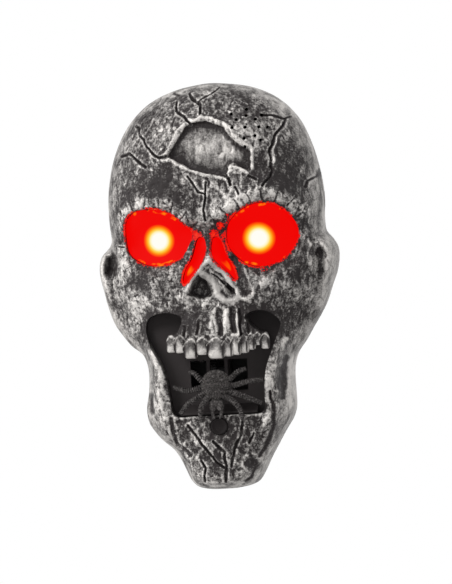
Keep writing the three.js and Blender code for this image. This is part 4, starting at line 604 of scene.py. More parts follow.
def surface_relief(points, normals):
    """Fine relief of the moulded face: cracks, lips, brow lumps, gums, chips and pits."""
    x, z = points[:, 0], points[:, 2]
    edge = distance_to_line(x, z, OUTLINE, True)
    front = ramp(-normals[:, 1], 0.1, 0.6) * ramp(edge, 0.5, 4.0)
    rough = ramp(edge, 2.0, 8.0)
    wx, wz = wandered(x, z)
    height = np.zeros(len(x))
    for line, depth, width in CRACKS:
        away = distance_to_line(wx, wz, line)
        height += 0.35 * near(away - width * 2.2, 0.8) - depth * near(away, width)
    for line, rise, width in LIPS + NOSE_LIPS:
        height += rise * near(distance_to_line(wx, wz, line), width)
    for brow in (LEFT_BROW, RIGHT_BROW):
        lumps = 0.6 + 0.5 * random_field(points, 3.4, 8)
        height += lumps * near(distance_to_line(x, z, brow), 4.2, 4)
        for groove in brow_grooves(brow, 7.3, 3.8):
            height -= 0.8 * near(distance_to_line(wx, wz, groove), 0.6)
    for tooth in TEETH:
        above, across = gum_distance(x, z, tooth)
        height += np.where(np.abs(across) < 1.1, 0.7 * near(above - 0.6, 0.7), 0)
    patchy = ramp(random_field(points, 10.0, 16), -0.25, 0.35)
    for seed, lean, where in ((11, 0.5, patchy), (12, -0.35, 1 - patchy)):
        slanted = points @ np.array([[1.7, 0, lean], [0, 1, 0], [-lean, 0, 0.5]])
        height -= rough * 0.55 * ramp(random_field(slanted, 3.4, seed), 0.3, 0.75) * where
    height -= rough * 0.4 * ramp(random_field(points, 1.9, 17), 0.25, 0.7)
    height += rough * (0.2 * random_field(points, 1.5, 13) + 0.3 * random_field(points, 3.2, 14))
    height += 0.06 * random_field(points, 2.4, 15)
    smooth = inside(x, z, FOREHEAD_HOLE) & (distance_to_line(x, z, FOREHEAD_HOLE, True) > 2)
    scar = near(np.hypot(x - 14.5, z - 82), 6.5)
    return np.where(smooth, height * (0.2 + scar), height) * front


def painted_teeth(x, z, silver):
    """Bright crowns that darken towards the gum and at their sides, partly unbrushed charcoal and partly
    painted shade under the gum and between teeth, under a bright gum edge.
    """
    uneven = random_field(np.stack([x * 1.6, np.zeros(len(x)), z], axis=1), 4.5, 41)
    for tooth in TEETH:
        above, across = gum_distance(x, z, tooth)
        painted = (np.abs(across) < 1.08) & (above < 1.4) & (z > tooth[1] - 3)
        crown = 1.05 - 0.72 * ramp(above + 2.2 * uneven, -8.6, -1.6)
        crown -= 0.75 * ramp(np.abs(across + 0.1), 0.5, 0.95)
        silver = np.where(painted, np.maximum(crown, 0.95 * near(above - 0.4, 0.8)) - 0.05, silver)
    return silver


def face_tone(points, fine, broad):
    """Share of silver on the face, with painted light and painted shade in it, how strongly the paint varies,
    and the red light on it.
    """
    x, z = points[:, 0], points[:, 2]
    upright = points * (1, 1, 0.5)
    # Silver catches where fine detail stands out; the broad term is painted shade, darker in broad hollows
    # and lighter on broad rises.
    silver = 0.37 + 1.35 * np.clip(fine, -0.35, 0.2) + 0.34 * np.clip(broad, -1.4, 1.2)
    # Patches of tone, some the paint's own and some painted light and painted shade.
    for (tone_x, tone_z), radius, tone in TONE_LIGHT_AND_SHADE_PATCHES:
        silver += tone * near(np.hypot(x - tone_x, z - tone_z), radius)
    silver += 0.2 * random_field(points, 8.0, 22) + 0.12 * random_field(upright, 3.2, 23)

    # The sides are brushed more evenly, and painted lighter all round as a painted sheen on the rim.
    side = 1 - ramp(distance_to_line(x, z, OUTLINE, True), 1.0, 8.0)
    silver += (0.72 + 0.4 * random_field(upright, 5.0, 25) - silver) * 0.8 * side
    contrast = 1.0 - 0.35 * side

    # Cracks stay dark between brighter edges, and lips and brows catch the brush, with a band of painted
    # shadow just above the brows.
    wx, wz = wandered(x, z)
    for line, depth, width in CRACKS:
        away = distance_to_line(wx, wz, line)
        silver += 0.12 * near(away - width * 2.2, 0.7) - 0.62 * min(depth, 1.6) * near(away, width + 0.15)
    for line, rise, width in LIPS:
        silver += 0.24 * rise * near(distance_to_line(wx, wz, line), width)
    for line, _, width in NOSE_LIPS:
        lip = near(distance_to_line(wx, wz, line), width * 1.2, 6)
        contrast -= 0.75 * lip
        silver += (0.84 - silver) * 0.85 * lip
    for line, above in ((LEFT_BROW, 0.42), (RIGHT_BROW, 0.0), (RIGHT_BROW[4:], 0.35)):
        silver += 0.14 * near(distance_to_line(wx, wz, line), 3.8, 4)
        # A band of painted shadow lies just above the brow.
        silver -= above * near(distance_to_line(wx, wz, np.array(line, float) + (1.0, 7.2)), 3.0)

    hole = inside(x, z, FOREHEAD_HOLE)
    # Painted shade darkens the forehead hollow, most along its inner rim.
    shade = 0.08 + 0.5 * near(distance_to_line(x, z, FOREHEAD_HOLE, True), 2.2)
    contrast = np.where(hole, 0.6, contrast)
    silver = np.where(hole, silver - shade, silver)
    contrast = np.where((z < -79) & (np.abs(x - 3) < 30), contrast * 1.15, contrast)

    # Red light, painted as a glow over darker paint, lies on the rims and between the lenses, and a thin band
    # of painted shade runs along each opening's rim.
    spill = np.zeros(len(x))
    uneven = 0.9 + 0.5 * random_field(points, 6.0, 24)
    for _, outline, *_ in LIT_OPENINGS:
        away = distance_to_line(x, z, outline, True)
        # A thin band of painted shade along the opening's rim.
        silver -= 0.22 * near(away, 1.2)
        spill = np.maximum(spill, 0.72 * near(away, 1.5) * uneven)
    for (light_x, light_z), radius, amount in RED_LIGHT:
        light = near(np.hypot(x - light_x, z - light_z), radius)
        spill = np.maximum(spill, amount * light)
        silver -= 0.35 * light

    # Painted shade darkens the face round the upper arches of the mouth.
    silver -= 0.42 * near(distance_to_line(x, z, MOUTH, True), 3.6) * ramp(z, -36, -26)
    from_button = np.hypot(x - BUTTON[0], z - BUTTON[1])
    silver -= 0.8 * (1 - ramp(from_button, BUTTON_RADIUS + 0.5, BUTTON_RADIUS + 1.2))
    return np.clip(silver, 0, 1), contrast, spill


# Solids, as corners in millimetres and faces


def ring_faces(rings, sides):
    """Four-sided faces between rings of corners that follow one another."""
    return [
        [ring + side, ring + (side + 1) % sides, ring + sides + (side + 1) % sides, ring + sides + side]
        for ring in range(0, (rings - 1) * sides, sides) for side in range(sides)
    ]


def lofted(corners, sides):
    """A solid through rings of corners, closed by a flat face at each end."""
    last = len(corners) - sides
    ends = [list(range(sides))[::-1], list(range(last, last + sides))]
    return np.array(corners), ring_faces(len(corners) // sides, sides) + ends


def prism(points, near_depth, far_depth):
    """A straight prism of an outline between two depths."""
    return lofted([(x, -depth, z) for depth in (near_depth, far_depth) for x, z in points], len(points))


def turned(x, z, profile, sides=48):
    """A turned solid on an axis towards the viewer, from radius and depth pairs on one side."""
    corners = [(a, -depth, b) for radius, depth in profile for a, b in circle(x, z, radius, sides)]
    return lofted(corners, sides)


def domed(edge, ring_shares, depth_at, back, middle=None):
    """A solid with a flat back and a curved front, made of rings that shrink to a middle."""
    middle = edge.mean(axis=0) if middle is None else np.array(middle, float)
    count, last = len(edge), len(edge) * len(ring_shares)
    flat = (middle + (edge - middle)[None] * np.array(ring_shares)[:, None, None]).reshape(-1, 2)
    corners = np.concatenate([
        np.stack([edge[:, 0], np.full(count, -back), edge[:, 1]], axis=1),
        np.stack([flat[:, 0], -depth_at(flat[:, 0], flat[:, 1]), flat[:, 1]], axis=1),
        [[middle[0], -back, middle[1]],
         [middle[0], -depth_at(middle[:1], middle[1:])[0], middle[1]]],
    ])
    faces = ring_faces(len(ring_shares) + 1, count)
    pairs = [(i, (i + 1) % count) for i in range(count)]
    faces += [[last + i, last + j, last + count + 1] for i, j in pairs]
    return corners, faces + [[last + count, j, i] for i, j in pairs]


def ball(middle, radius, stretch=(1, 1, 1), sides=32, rings=20):
    """A round body about a point of x, depth and z."""
    x, depth, z = middle
    across, deep, tall = radius * np.array(stretch)
    corners = []
    for ring in range(1, rings):
        turn = math.pi * ring / rings
        for side in range(sides):
            around = 2 * math.pi * side / sides
            corners.append((
                x + across * math.sin(turn) * math.cos(around),
                -depth - deep * math.sin(turn) * math.sin(around),
                z - tall * math.cos(turn),
            ))
    faces = [[a, d, c, b] for a, b, c, d in ring_faces(rings - 1, sides)]
    low, last = len(corners), (rings - 2) * sides
    corners += [(x, -depth, z - tall), (x, -depth, z + tall)]
    faces += [[low, side, (side + 1) % sides] for side in range(sides)]
    faces += [[low + 1, last + (side + 1) % sides, last + side] for side in range(sides)]
    return np.array(corners), faces


def ribbed_tube(route, radius, rib_pitch, rib_height, tip_share, sides=10):
    """A tube along x, depth and z points, with round ribs, closed at both ends."""
    length = np.sum(np.linalg.norm(np.diff(np.array(route, float), axis=0), axis=1))
    per_rib = 4 if rib_pitch else 1
    steps = int(length / rib_pitch) * per_rib if rib_pitch else 14
    line = smooth_line(route, steps + 1, False) * (1, -1, 1)
    along = np.gradient(line, axis=0)
    along /= np.linalg.norm(along, axis=1)[:, None]
    corners = []
    for i, (centre, ahead) in enumerate(zip(line, along)):
        side = np.cross(ahead, (0.3, 0.9, 0.2))
        side /= np.linalg.norm(side)
        up = np.cross(side, ahead)
        swell = 1 + rib_height * math.cos(2 * math.pi * i / per_rib) if rib_pitch else 1.0
        taper = 1 - (1 - tip_share) * (i / steps) ** 2
        for turn in np.linspace(0, 2 * math.pi, sides, endpoint=False):
            corners.append(centre + (side * math.cos(turn) + up * math.sin(turn)) * radius * swell * taper)
    return lofted(corners, sides)


def squared(share):
    """Pushes a round section a little towards a square one."""
    return math.copysign(abs(share) ** 0.75, share)


def tooth_solid(x, low, width, height, proud, seat):
    """A tooth: a rounded crown, a little wider at its biting edge, with a blunt root."""
    rings, sides = 18, 28
    corners = []
    for ring in range(rings + 1):
        turn = math.pi * (0.04 + 0.92 * ring / rings)
        up = -math.cos(turn)
        reach = math.sin(turn) ** (0.4 if up < 0 else 0.6)
        taper = 0.96 - 0.16 * up
        for side in range(sides):
            around = 2 * math.pi * side / sides
            corners.append((
                x + width / 2 * taper * reach * squared(math.cos(around)),
                -seat - proud * 1.2 * reach * squared(math.sin(around)),
                low + height / 2 * (1 + up),
            ))
    return lofted(corners, sides)


def merged(parts):
    """Several corner and face lists as one."""
    corners, faces, start = [], [], 0
    for part_corners, part_faces in parts:
        corners.append(part_corners)
        faces += [[start + i for i in face] for face in part_faces]
        start += len(part_corners)
    return np.concatenate(corners), faces


# Meshes


def new_object(name, corners, faces, material=None):
    mesh = bpy.data.meshes.new(name)
    mesh.from_pydata((np.array(corners, float) * MM).tolist(), [], faces)
    mesh.validate()
    piece = bpy.data.objects.new(name, mesh)
    bpy.context.scene.collection.objects.link(piece)
    if material:
        mesh.materials.append(material)
    return piece


def bake_modifiers(piece):
    graph = bpy.context.evaluated_depsgraph_get()
    baked = bpy.data.meshes.new_from_object(piece.evaluated_get(graph))
    piece.modifiers.clear()
    old = piece.data
    piece.data = baked
    baked.name = old.name
    bpy.data.meshes.remove(old)


def combine(piece, others, operation):
    """Joins each of the other solids to the piece, or cuts it out, then removes it."""
    for other in others:
        modifier = piece.modifiers.new("combine", "BOOLEAN")
        modifier.operation = operation
        modifier.solver = "MANIFOLD"
        modifier.object = other
        bake_modifiers(piece)
        bpy.data.objects.remove(other)


def face_outwards(mesh):
    """Merges doubles, then turns every face outwards."""
    shape = bmesh.new()
    shape.from_mesh(mesh)
    bmesh.ops.remove_doubles(shape, verts=shape.verts, dist=1e-6)
    bmesh.ops.recalc_face_normals(shape, faces=shape.faces)
    shape.to_mesh(mesh)
    shape.free()


def shade_smooth(piece, angle):
    piece.data.shade_smooth()
    piece.data.set_sharp_from_angle(angle=math.radians(angle))


def triangle_count(mesh):
    return sum(len(polygon.vertices) - 2 for polygon in mesh.polygons)


def vectors_of(items, name):
    values = np.empty(len(items) * 3, np.float32)
    items.foreach_get(name, values)
    return values.reshape(-1, 3).astype(float)


def corners_of(mesh):
    return vectors_of(mesh.vertices, "co") / MM


def normals_of(mesh):
    return vectors_of(mesh.vertex_normals, "vector")


def store(mesh, name, values):
    attribute = mesh.attributes.new(name, "FLOAT", "POINT")
    attribute.data.foreach_set("value", np.asarray(values, np.float32))


def relaxed(mesh, corners, rounds):
    """The corners after some rounds of averaging with their neighbours."""
    ends = np.empty(len(mesh.edges) * 2, np.int32)
    mesh.edges.foreach_get("vertices", ends)
    a, b = ends.reshape(-1, 2).T
    count = len(corners)
    links = np.maximum(np.bincount(a, minlength=count) + np.bincount(b, minlength=count), 1)
    for _ in range(rounds):
        total = np.stack([
            np.bincount(a, corners[b, k], count) + np.bincount(b, corners[a, k], count)
            for k in range(3)
        ], axis=1)
        corners = (corners + total / links[:, None]) / 2
    return corners


# Materials


def linear(hex_colour):
    """An sRGB hex colour as linear red, green, blue and alpha."""
    channels = [int(hex_colour[i:i + 2], 16) / 255 for i in (0, 2, 4)]
    return [c / 12.92 if c <= 0.04045 else ((c + 0.055) / 1.055) ** 2.4 for c in channels] + [1.0]


def blended(first, second, share):
    """A linear colour some way from one colour to another."""
    return [a + (b - a) * share for a, b in zip(first, second)]


def scaled(colour, factor):
    """A linear colour made darker or lighter."""
    return [channel * factor for channel in colour[:3]] + [1.0]


def connect(tree, node, inputs):
    """Gives a node's inputs their values, sockets, or the first sockets of other nodes."""
    for name, value in inputs.items():
        if isinstance(value, bpy.types.Node):
            value = value.outputs[0]
        if isinstance(value, bpy.types.NodeSocket):
            tree.links.new(value, node.inputs[name])
        else:
            node.inputs[name].default_value = value


def add_node(tree, kind, inputs=None, stops=(), **settings):
    """A node with its settings, its colour stops, its values and its links."""
    node = tree.nodes.new(kind)
    for name, value in settings.items():
        setattr(node, name, value)
    connect(tree, node, inputs or {})
    for index, (at, colour) in enumerate(stops):
        elements = node.color_ramp.elements
        if index == len(elements):
            elements.new(at)
        elements[index].position = at
        elements[index].color = colour
    return node


def per_mm(size):
    """A pattern's scale in metres for features of a size in millimetres."""
    return 1 / (size * MM)


def new_material(name):
    """A material, its tree, its surface and the object's own coordinates."""
    material = bpy.data.materials.new(name)
    material.use_nodes = True
    tree = material.node_tree
    where = add_node(tree, "ShaderNodeTexCoord").outputs["Object"]
    return material, tree, tree.nodes["Principled BSDF"], where


def silvered_plastic(charcoal, silver):
    """Charcoal moulded ABS under a silver dry-brush that catches on what stands out, with painted light and
    painted shade in the silver share and a painted red glow beside the lenses.
    """
    material, tree, surface, where = new_material("dry_brushed_silver_on_charcoal_abs")
    # The silver share holds the brushed paint together with painted light and painted shade.
    brushed, contrast, spill = (
        add_node(tree, "ShaderNodeAttribute", attribute_name=name).outputs["Fac"]
        for name in ("silver", "contrast", "spill"))
    # Specks of paint about 1 mm across, and blots of about 4 mm that run down the face
    drawn = add_node(tree, "ShaderNodeMapping", {"Vector": where, "Scale": (1.25, 1.0, 0.6)})
    speck = add_node(tree, "ShaderNodeTexNoise", {
        "Vector": where, "Scale": per_mm(1.0), "Detail": 3.0, "Roughness": 0.62})
    blot = add_node(tree, "ShaderNodeTexNoise", {
        "Vector": drawn, "Scale": per_mm(4.2), "Detail": 5.0, "Roughness": 0.66})
    speck, blot = (
        add_node(tree, "ShaderNodeMath", {0: noise, 1: 0.5}, operation="SUBTRACT") for noise in (speck, blot))
    # Thin dark veins about 7 mm apart, bent so that they wander
    swirl = add_node(tree, "ShaderNodeTexNoise", {"Vector": where, "Scale": per_mm(3.5), "Detail": 2.0})
    bent = add_node(tree, "ShaderNodeVectorMath", {
        0: swirl.outputs["Color"], 1: (4 * MM, 4 * MM, 4 * MM), 2: where}, operation="MULTIPLY_ADD")
    cells = add_node(tree, "ShaderNodeTexVoronoi", {
        "Vector": bent, "Scale": per_mm(7.0)}, feature="DISTANCE_TO_EDGE")
    vein = add_node(tree, "ShaderNodeMapRange", {
        "Value": cells, "From Max": 0.09, "To Min": -0.24, "To Max": 0.02})
    blots = add_node(tree, "ShaderNodeMath", {0: blot, 1: 2.1, 2: vein}, operation="MULTIPLY_ADD")
    uneven = add_node(tree, "ShaderNodeMath", {0: speck, 1: 1.55, 2: blots}, operation="MULTIPLY_ADD")
    worn_and_shaded = add_node(tree, "ShaderNodeMath", {0: uneven, 1: contrast, 2: brushed},
                    operation="MULTIPLY_ADD", use_clamp=True)
    colour = add_node(tree, "ShaderNodeValToRGB", {"Fac": worn_and_shaded}, [
        (at, blended(charcoal, silver, share)) for at, share in SILVER_SHARES])
    # Red light from the lenses shows in ragged patches beside them.
    ragged = add_node(tree, "ShaderNodeMath", {0: blot, 1: 1.2, 2: spill}, operation="MULTIPLY_ADD")
    finer = add_node(tree, "ShaderNodeMath", {0: speck, 1: 1.4, 2: ragged}, operation="MULTIPLY_ADD")
    patch = add_node(tree, "ShaderNodeMapRange", {"Value": finer, "From Min": 0.52, "From Max": 0.55})
    red = add_node(tree, "ShaderNodeValToRGB", {"Fac": finer}, [
        (0.52, linear("b80000")), (0.72, linear("ee0000")), (1.0, linear("f83000"))])
    darker = add_node(tree, "ShaderNodeMix", {0: patch, 6: colour, 7: linear("180505")}, data_type="RGBA")
    connect(tree, surface, {
        "Roughness": 0.5, "Specular IOR Level": 0.12, "Base Color": darker.outputs[2],
        "Metallic": add_node(tree, "ShaderNodeMath", {0: worn_and_shaded, 1: 0.5}, operation="MULTIPLY"),
        "Emission Color": red,
        "Emission Strength": add_node(tree, "ShaderNodeMath", {0: patch, 1: 0.95}, operation="MULTIPLY"),
        "Normal": add_node(tree, "ShaderNodeBump", {
            "Height": speck, "Distance": 0.4 * MM, "Strength": 0.7}),
    })
    return material


def lit_red_plastic(red):
    """Translucent polycarbonate lit from behind: white at the lamp, then yellow, orange and red."""
    material, tree, surface, where = new_material("lit_red_polycarbonate")
    glow, paint = (
        add_node(tree, "ShaderNodeAttribute", attribute_name=name).outputs["Fac"]
        for name in ("glow", "paint"))
    # Overspray from the face lies on the rim in ragged flecks about 2 mm across.
    drawn = add_node(tree, "ShaderNodeMapping", {"Vector": where, "Scale": (1.0, 1.0, 0.7)})
    streak = add_node(tree, "ShaderNodeTexNoise", {
        "Vector": drawn, "Scale": per_mm(1.8), "Detail": 4.0, "Roughness": 0.7})
    centred = add_node(tree, "ShaderNodeMath", {0: streak, 1: 0.5}, operation="SUBTRACT")
    ragged = add_node(tree, "ShaderNodeMath", {0: centred, 1: 1.5, 2: paint}, operation="MULTIPLY_ADD")
    painted = add_node(tree, "ShaderNodeMath", {0: ragged, 1: 0.62}, operation="GREATER_THAN")
    light = add_node(tree, "ShaderNodeValToRGB", {"Fac": glow}, [
        (at, scaled(red, share)) for at, share in RED_SHARES
    ] + [(at, linear(colour)) for at, colour in LAMP_COLOURS])
    base, shown = (
        add_node(tree, "ShaderNodeMix", {0: painted, 6: bare, 7: over}, data_type="RGBA").outputs[2]
        for bare, over in ((linear("140000"), linear("221f1e")), (light, (0, 0, 0, 1))))
    connect(tree, surface, {
        "Roughness": 0.6, "Specular IOR Level": 0.04, "Base Color": base, "Emission Color": shown,
        "Emission Strength": 1.0,
        "Normal": add_node(tree, "ShaderNodeBump", {
            "Height": streak, "Distance": 0.3 * MM, "Strength": 0.4}),
    })
    return material


def moulded_plastic(name, colour, lighter, roughness, grain_mm, height_mm, shine):
    """Injection-moulded ABS with a fine eroded texture and slightly uneven colour."""
    material, tree, surface, where = new_material(name)
    grain, patch = (
        add_node(tree, "ShaderNodeTexNoise", {
            "Vector": where, "Scale": per_mm(size), "Detail": detail, "Roughness": rough})
        for size, detail, rough in ((grain_mm, 3.0, 0.6), (14.0, 2.0, 0.5)))
    mixed = add_node(tree, "ShaderNodeMix", {0: patch, 6: colour, 7: lighter}, data_type="RGBA")
    connect(tree, surface, {
        "Roughness": roughness, "Specular IOR Level": shine, "Base Color": mixed.outputs[2],
        "Normal": add_node(tree, "ShaderNodeBump", {
            "Height": grain, "Distance": height_mm * MM, "Strength": 0.8}),
    })
    return material


def plated_metal(name, colour, roughness):
    """Zinc or nickel plate on steel: bright, with faint cloudiness and fine rolling lines."""
    material, tree, surface, where = new_material(name)
    cloud = add_node(tree, "ShaderNodeTexNoise", {
        "Vector": where, "Scale": per_mm(6.0), "Detail": 3.0, "Roughness": 0.5})
    drawn = add_node(tree, "ShaderNodeMapping", {"Vector": where, "Scale": (1.0, 1.0, 0.08)})
    line = add_node(tree, "ShaderNodeTexNoise", {
        "Vector": drawn, "Scale": per_mm(0.5), "Detail": 2.0, "Roughness": 0.5})
    connect(tree, surface, {
        "Base Color": linear(colour), "Metallic": 1.0,
        "Roughness": add_node(tree, "ShaderNodeMapRange", {
            "Value": cloud, "To Min": roughness - 0.08, "To Max": roughness + 0.1}),
        "Normal": add_node(tree, "ShaderNodeBump", {
            "Height": line, "Distance": 0.02 * MM, "Strength": 0.5}),
    })
    return material


def spider_rubber(name, colours):
    """Soft charcoal vinyl or its nylon fibres, with fine dusty flecks."""
    material, tree, surface, where = new_material(name)
    dust = add_node(tree, "ShaderNodeTexNoise", {
        "Vector": where, "Scale": per_mm(1.2), "Detail": 3.0, "Roughness": 0.6})
    stops = [(at, linear(colour)) for at, colour in zip((0.35, 0.52, 0.7), colours)]
    connect(tree, surface, {
        "Roughness": 0.8, "Specular IOR Level": 0.15,
        "Base Color": add_node(tree, "ShaderNodeValToRGB", {"Fac": dust}, stops),
        "Normal": add_node(tree, "ShaderNodeBump", {
            "Height": dust, "Distance": 0.15 * MM, "Strength": 0.6}),
    })
    return material


def board_laminate():
    """Glass-epoxy board under green solder mask, with faint tracks 9 mm apart."""
    material, tree, surface, where = new_material("green_solder_mask")
    connect(tree, surface, {
        "Roughness": 0.4,
        "Base Color": add_node(tree, "ShaderNodeTexBrick", {
            "Vector": where, "Scale": per_mm(9.0), "Color1": linear("1d5a33"),
            "Color2": linear("1a5230"), "Mortar": linear("2b7a48"), "Mortar Size": 0.03}),
    })
    return material


def pale_floor():
    """Matte pale backdrop paint."""
    material, tree, surface, _ = new_material("pale_floor")
    connect(tree, surface, {"Roughness": 0.8, "Base Color": linear("e8e8e8")})
    return material


def run_nodes(piece, name, inputs, build, material):
    """Runs a Geometry Nodes tree on a piece and keeps what it makes as a plain mesh.

    The inputs are a socket type and a value for each name, and build returns the instances.
    """
    tree = bpy.data.node_groups.new(name, "GeometryNodeTree")
    tree.interface.new_socket("Geometry", in_out="INPUT", socket_type="NodeSocketGeometry")
    sockets = [tree.interface.new_socket(label, in_out="INPUT", socket_type=kind)
               for label, (kind, _) in inputs.items()]
    tree.interface.new_socket("Geometry", in_out="OUTPUT", socket_type="NodeSocketGeometry")
    instances = build(tree, add_node(tree, "NodeGroupInput").outputs)
    real = add_node(tree, "GeometryNodeRealizeInstances", {"Geometry": instances})
    painted = add_node(tree, "GeometryNodeSetMaterial", {"Geometry": real, "Material": material})
    add_node(tree, "NodeGroupOutput", {"Geometry": painted})
    modifier = piece.modifiers.new(name, "NODES")
    modifier.node_group = tree
    for socket, (_, value) in zip(sockets, inputs.values()):
        modifier[socket.identifier] = value
    bake_modifiers(piece)


# Settings and operators


class SkullSettings(bpy.types.PropertyGroup):
    voxel: bpy.props.FloatProperty(
        name="Voxel", description="Grid size of the sculpted face", default=0.8 * MM,
        unit="LENGTH", precision=5)
    crack_band: bpy.props.FloatProperty(
        name="Crack band", description="Width of the finer mesh beside each crack",
        default=1.7 * MM, unit="LENGTH", precision=5)
    hair: bpy.props.FloatProperty(
        name="Hair", description="Length of the spider's bristles", default=1.5 * MM,
        unit="LENGTH", precision=5)
    charcoal: bpy.props.FloatVectorProperty(
        name="Charcoal", description="Colour of the face's plastic", default=linear("292525"),
        subtype="COLOR", size=4, min=0.0, max=1.0)
    silver: bpy.props.FloatVectorProperty(
        name="Silver", description="Colour of the paint brushed over the face",
        default=linear("c3bfbb"), subtype="COLOR", size=4, min=0.0, max=1.0)
    lens: bpy.props.FloatVectorProperty(
        name="Lens", description="Colour of the lit lenses", default=linear("f20200"),
        subtype="COLOR", size=4, min=0.0, max=1.0)
    liner: bpy.props.FloatVectorProperty(
        name="Liner", description="Colour of the panel behind the spider",
        default=linear("332f2f"), subtype="COLOR", size=4, min=0.0, max=1.0)
    button: bpy.props.FloatVectorProperty(
        name="Button", description="Colour of the push button", default=linear("1a1717"),
        subtype="COLOR", size=4, min=0.0, max=1.0)


class DOORBELL_OT_stage(bpy.types.Operator):
    """Camera, floor, lamps and white surroundings"""

    bl_idname = "doorbell.stage"
    bl_label = "Stage and camera"

    def execute(self, context):
        scene = context.scene
        scene.view_settings.view_transform = "Standard"
        data = bpy.data.cameras.new("camera")
        camera = bpy.data.objects.new("camera", data)
        scene.collection.objects.link(camera)
        data.sensor_fit = "VERTICAL"
        data.sensor_height = SENSOR
        data.lens = SENSOR * CAMERA_DISTANCE / VIEW_HEIGHT
        data.clip_end = CAMERA_DISTANCE * 4
        away = Vector((math.sin(CAMERA_TURN), -math.cos(CAMERA_TURN), 0.0))
        camera.location = Vector(CAMERA_TARGET) * MM + away * CAMERA_DISTANCE
        turn = Matrix.Rotation(CAMERA_TURN, 4, "Z") @ Matrix.Rotation(math.pi / 2, 4, "X")
        camera.rotation_euler = (turn @ Matrix.Rotation(-CAMERA_ROLL, 4, "Z")).to_euler()
        scene.camera = camera

        bpy.ops.mesh.primitive_plane_add(size=1.6, location=(0, -0.2, -0.3))
        floor = context.object
        floor.name = "floor"
        floor.data.materials.append(pale_floor())

        world = bpy.data.worlds.new("studio")
        scene.world = world
        world.use_nodes = True
        tree = world.node_tree
        rays = add_node(tree, "ShaderNodeLightPath").outputs
        seen = rays["Is Camera Ray"]
        for kind in ("Is Transmission Ray", "Is Glossy Ray"):
            seen = add_node(tree, "ShaderNodeMath", {0: seen, 1: rays[kind]}, operation="MAXIMUM")
        strength = add_node(tree, "ShaderNodeMix", {0: seen, 2: SURROUND_LIGHT, 3: 1.0}, data_type="FLOAT")
        connect(tree, tree.nodes["Background"], {"Color": (1, 1, 1, 1), "Strength": strength})

        for name, location, size, power in LAMPS:
            data = bpy.data.lights.new(name, "AREA")
            data.size = size
            data.energy = power
            lamp = bpy.data.objects.new(name, data)
            lamp.location = location
            lamp.rotation_euler = (LAMP_AIM - lamp.location).to_track_quat("-Z", "Y").to_euler()
            scene.collection.objects.link(lamp)
        return {"FINISHED"}


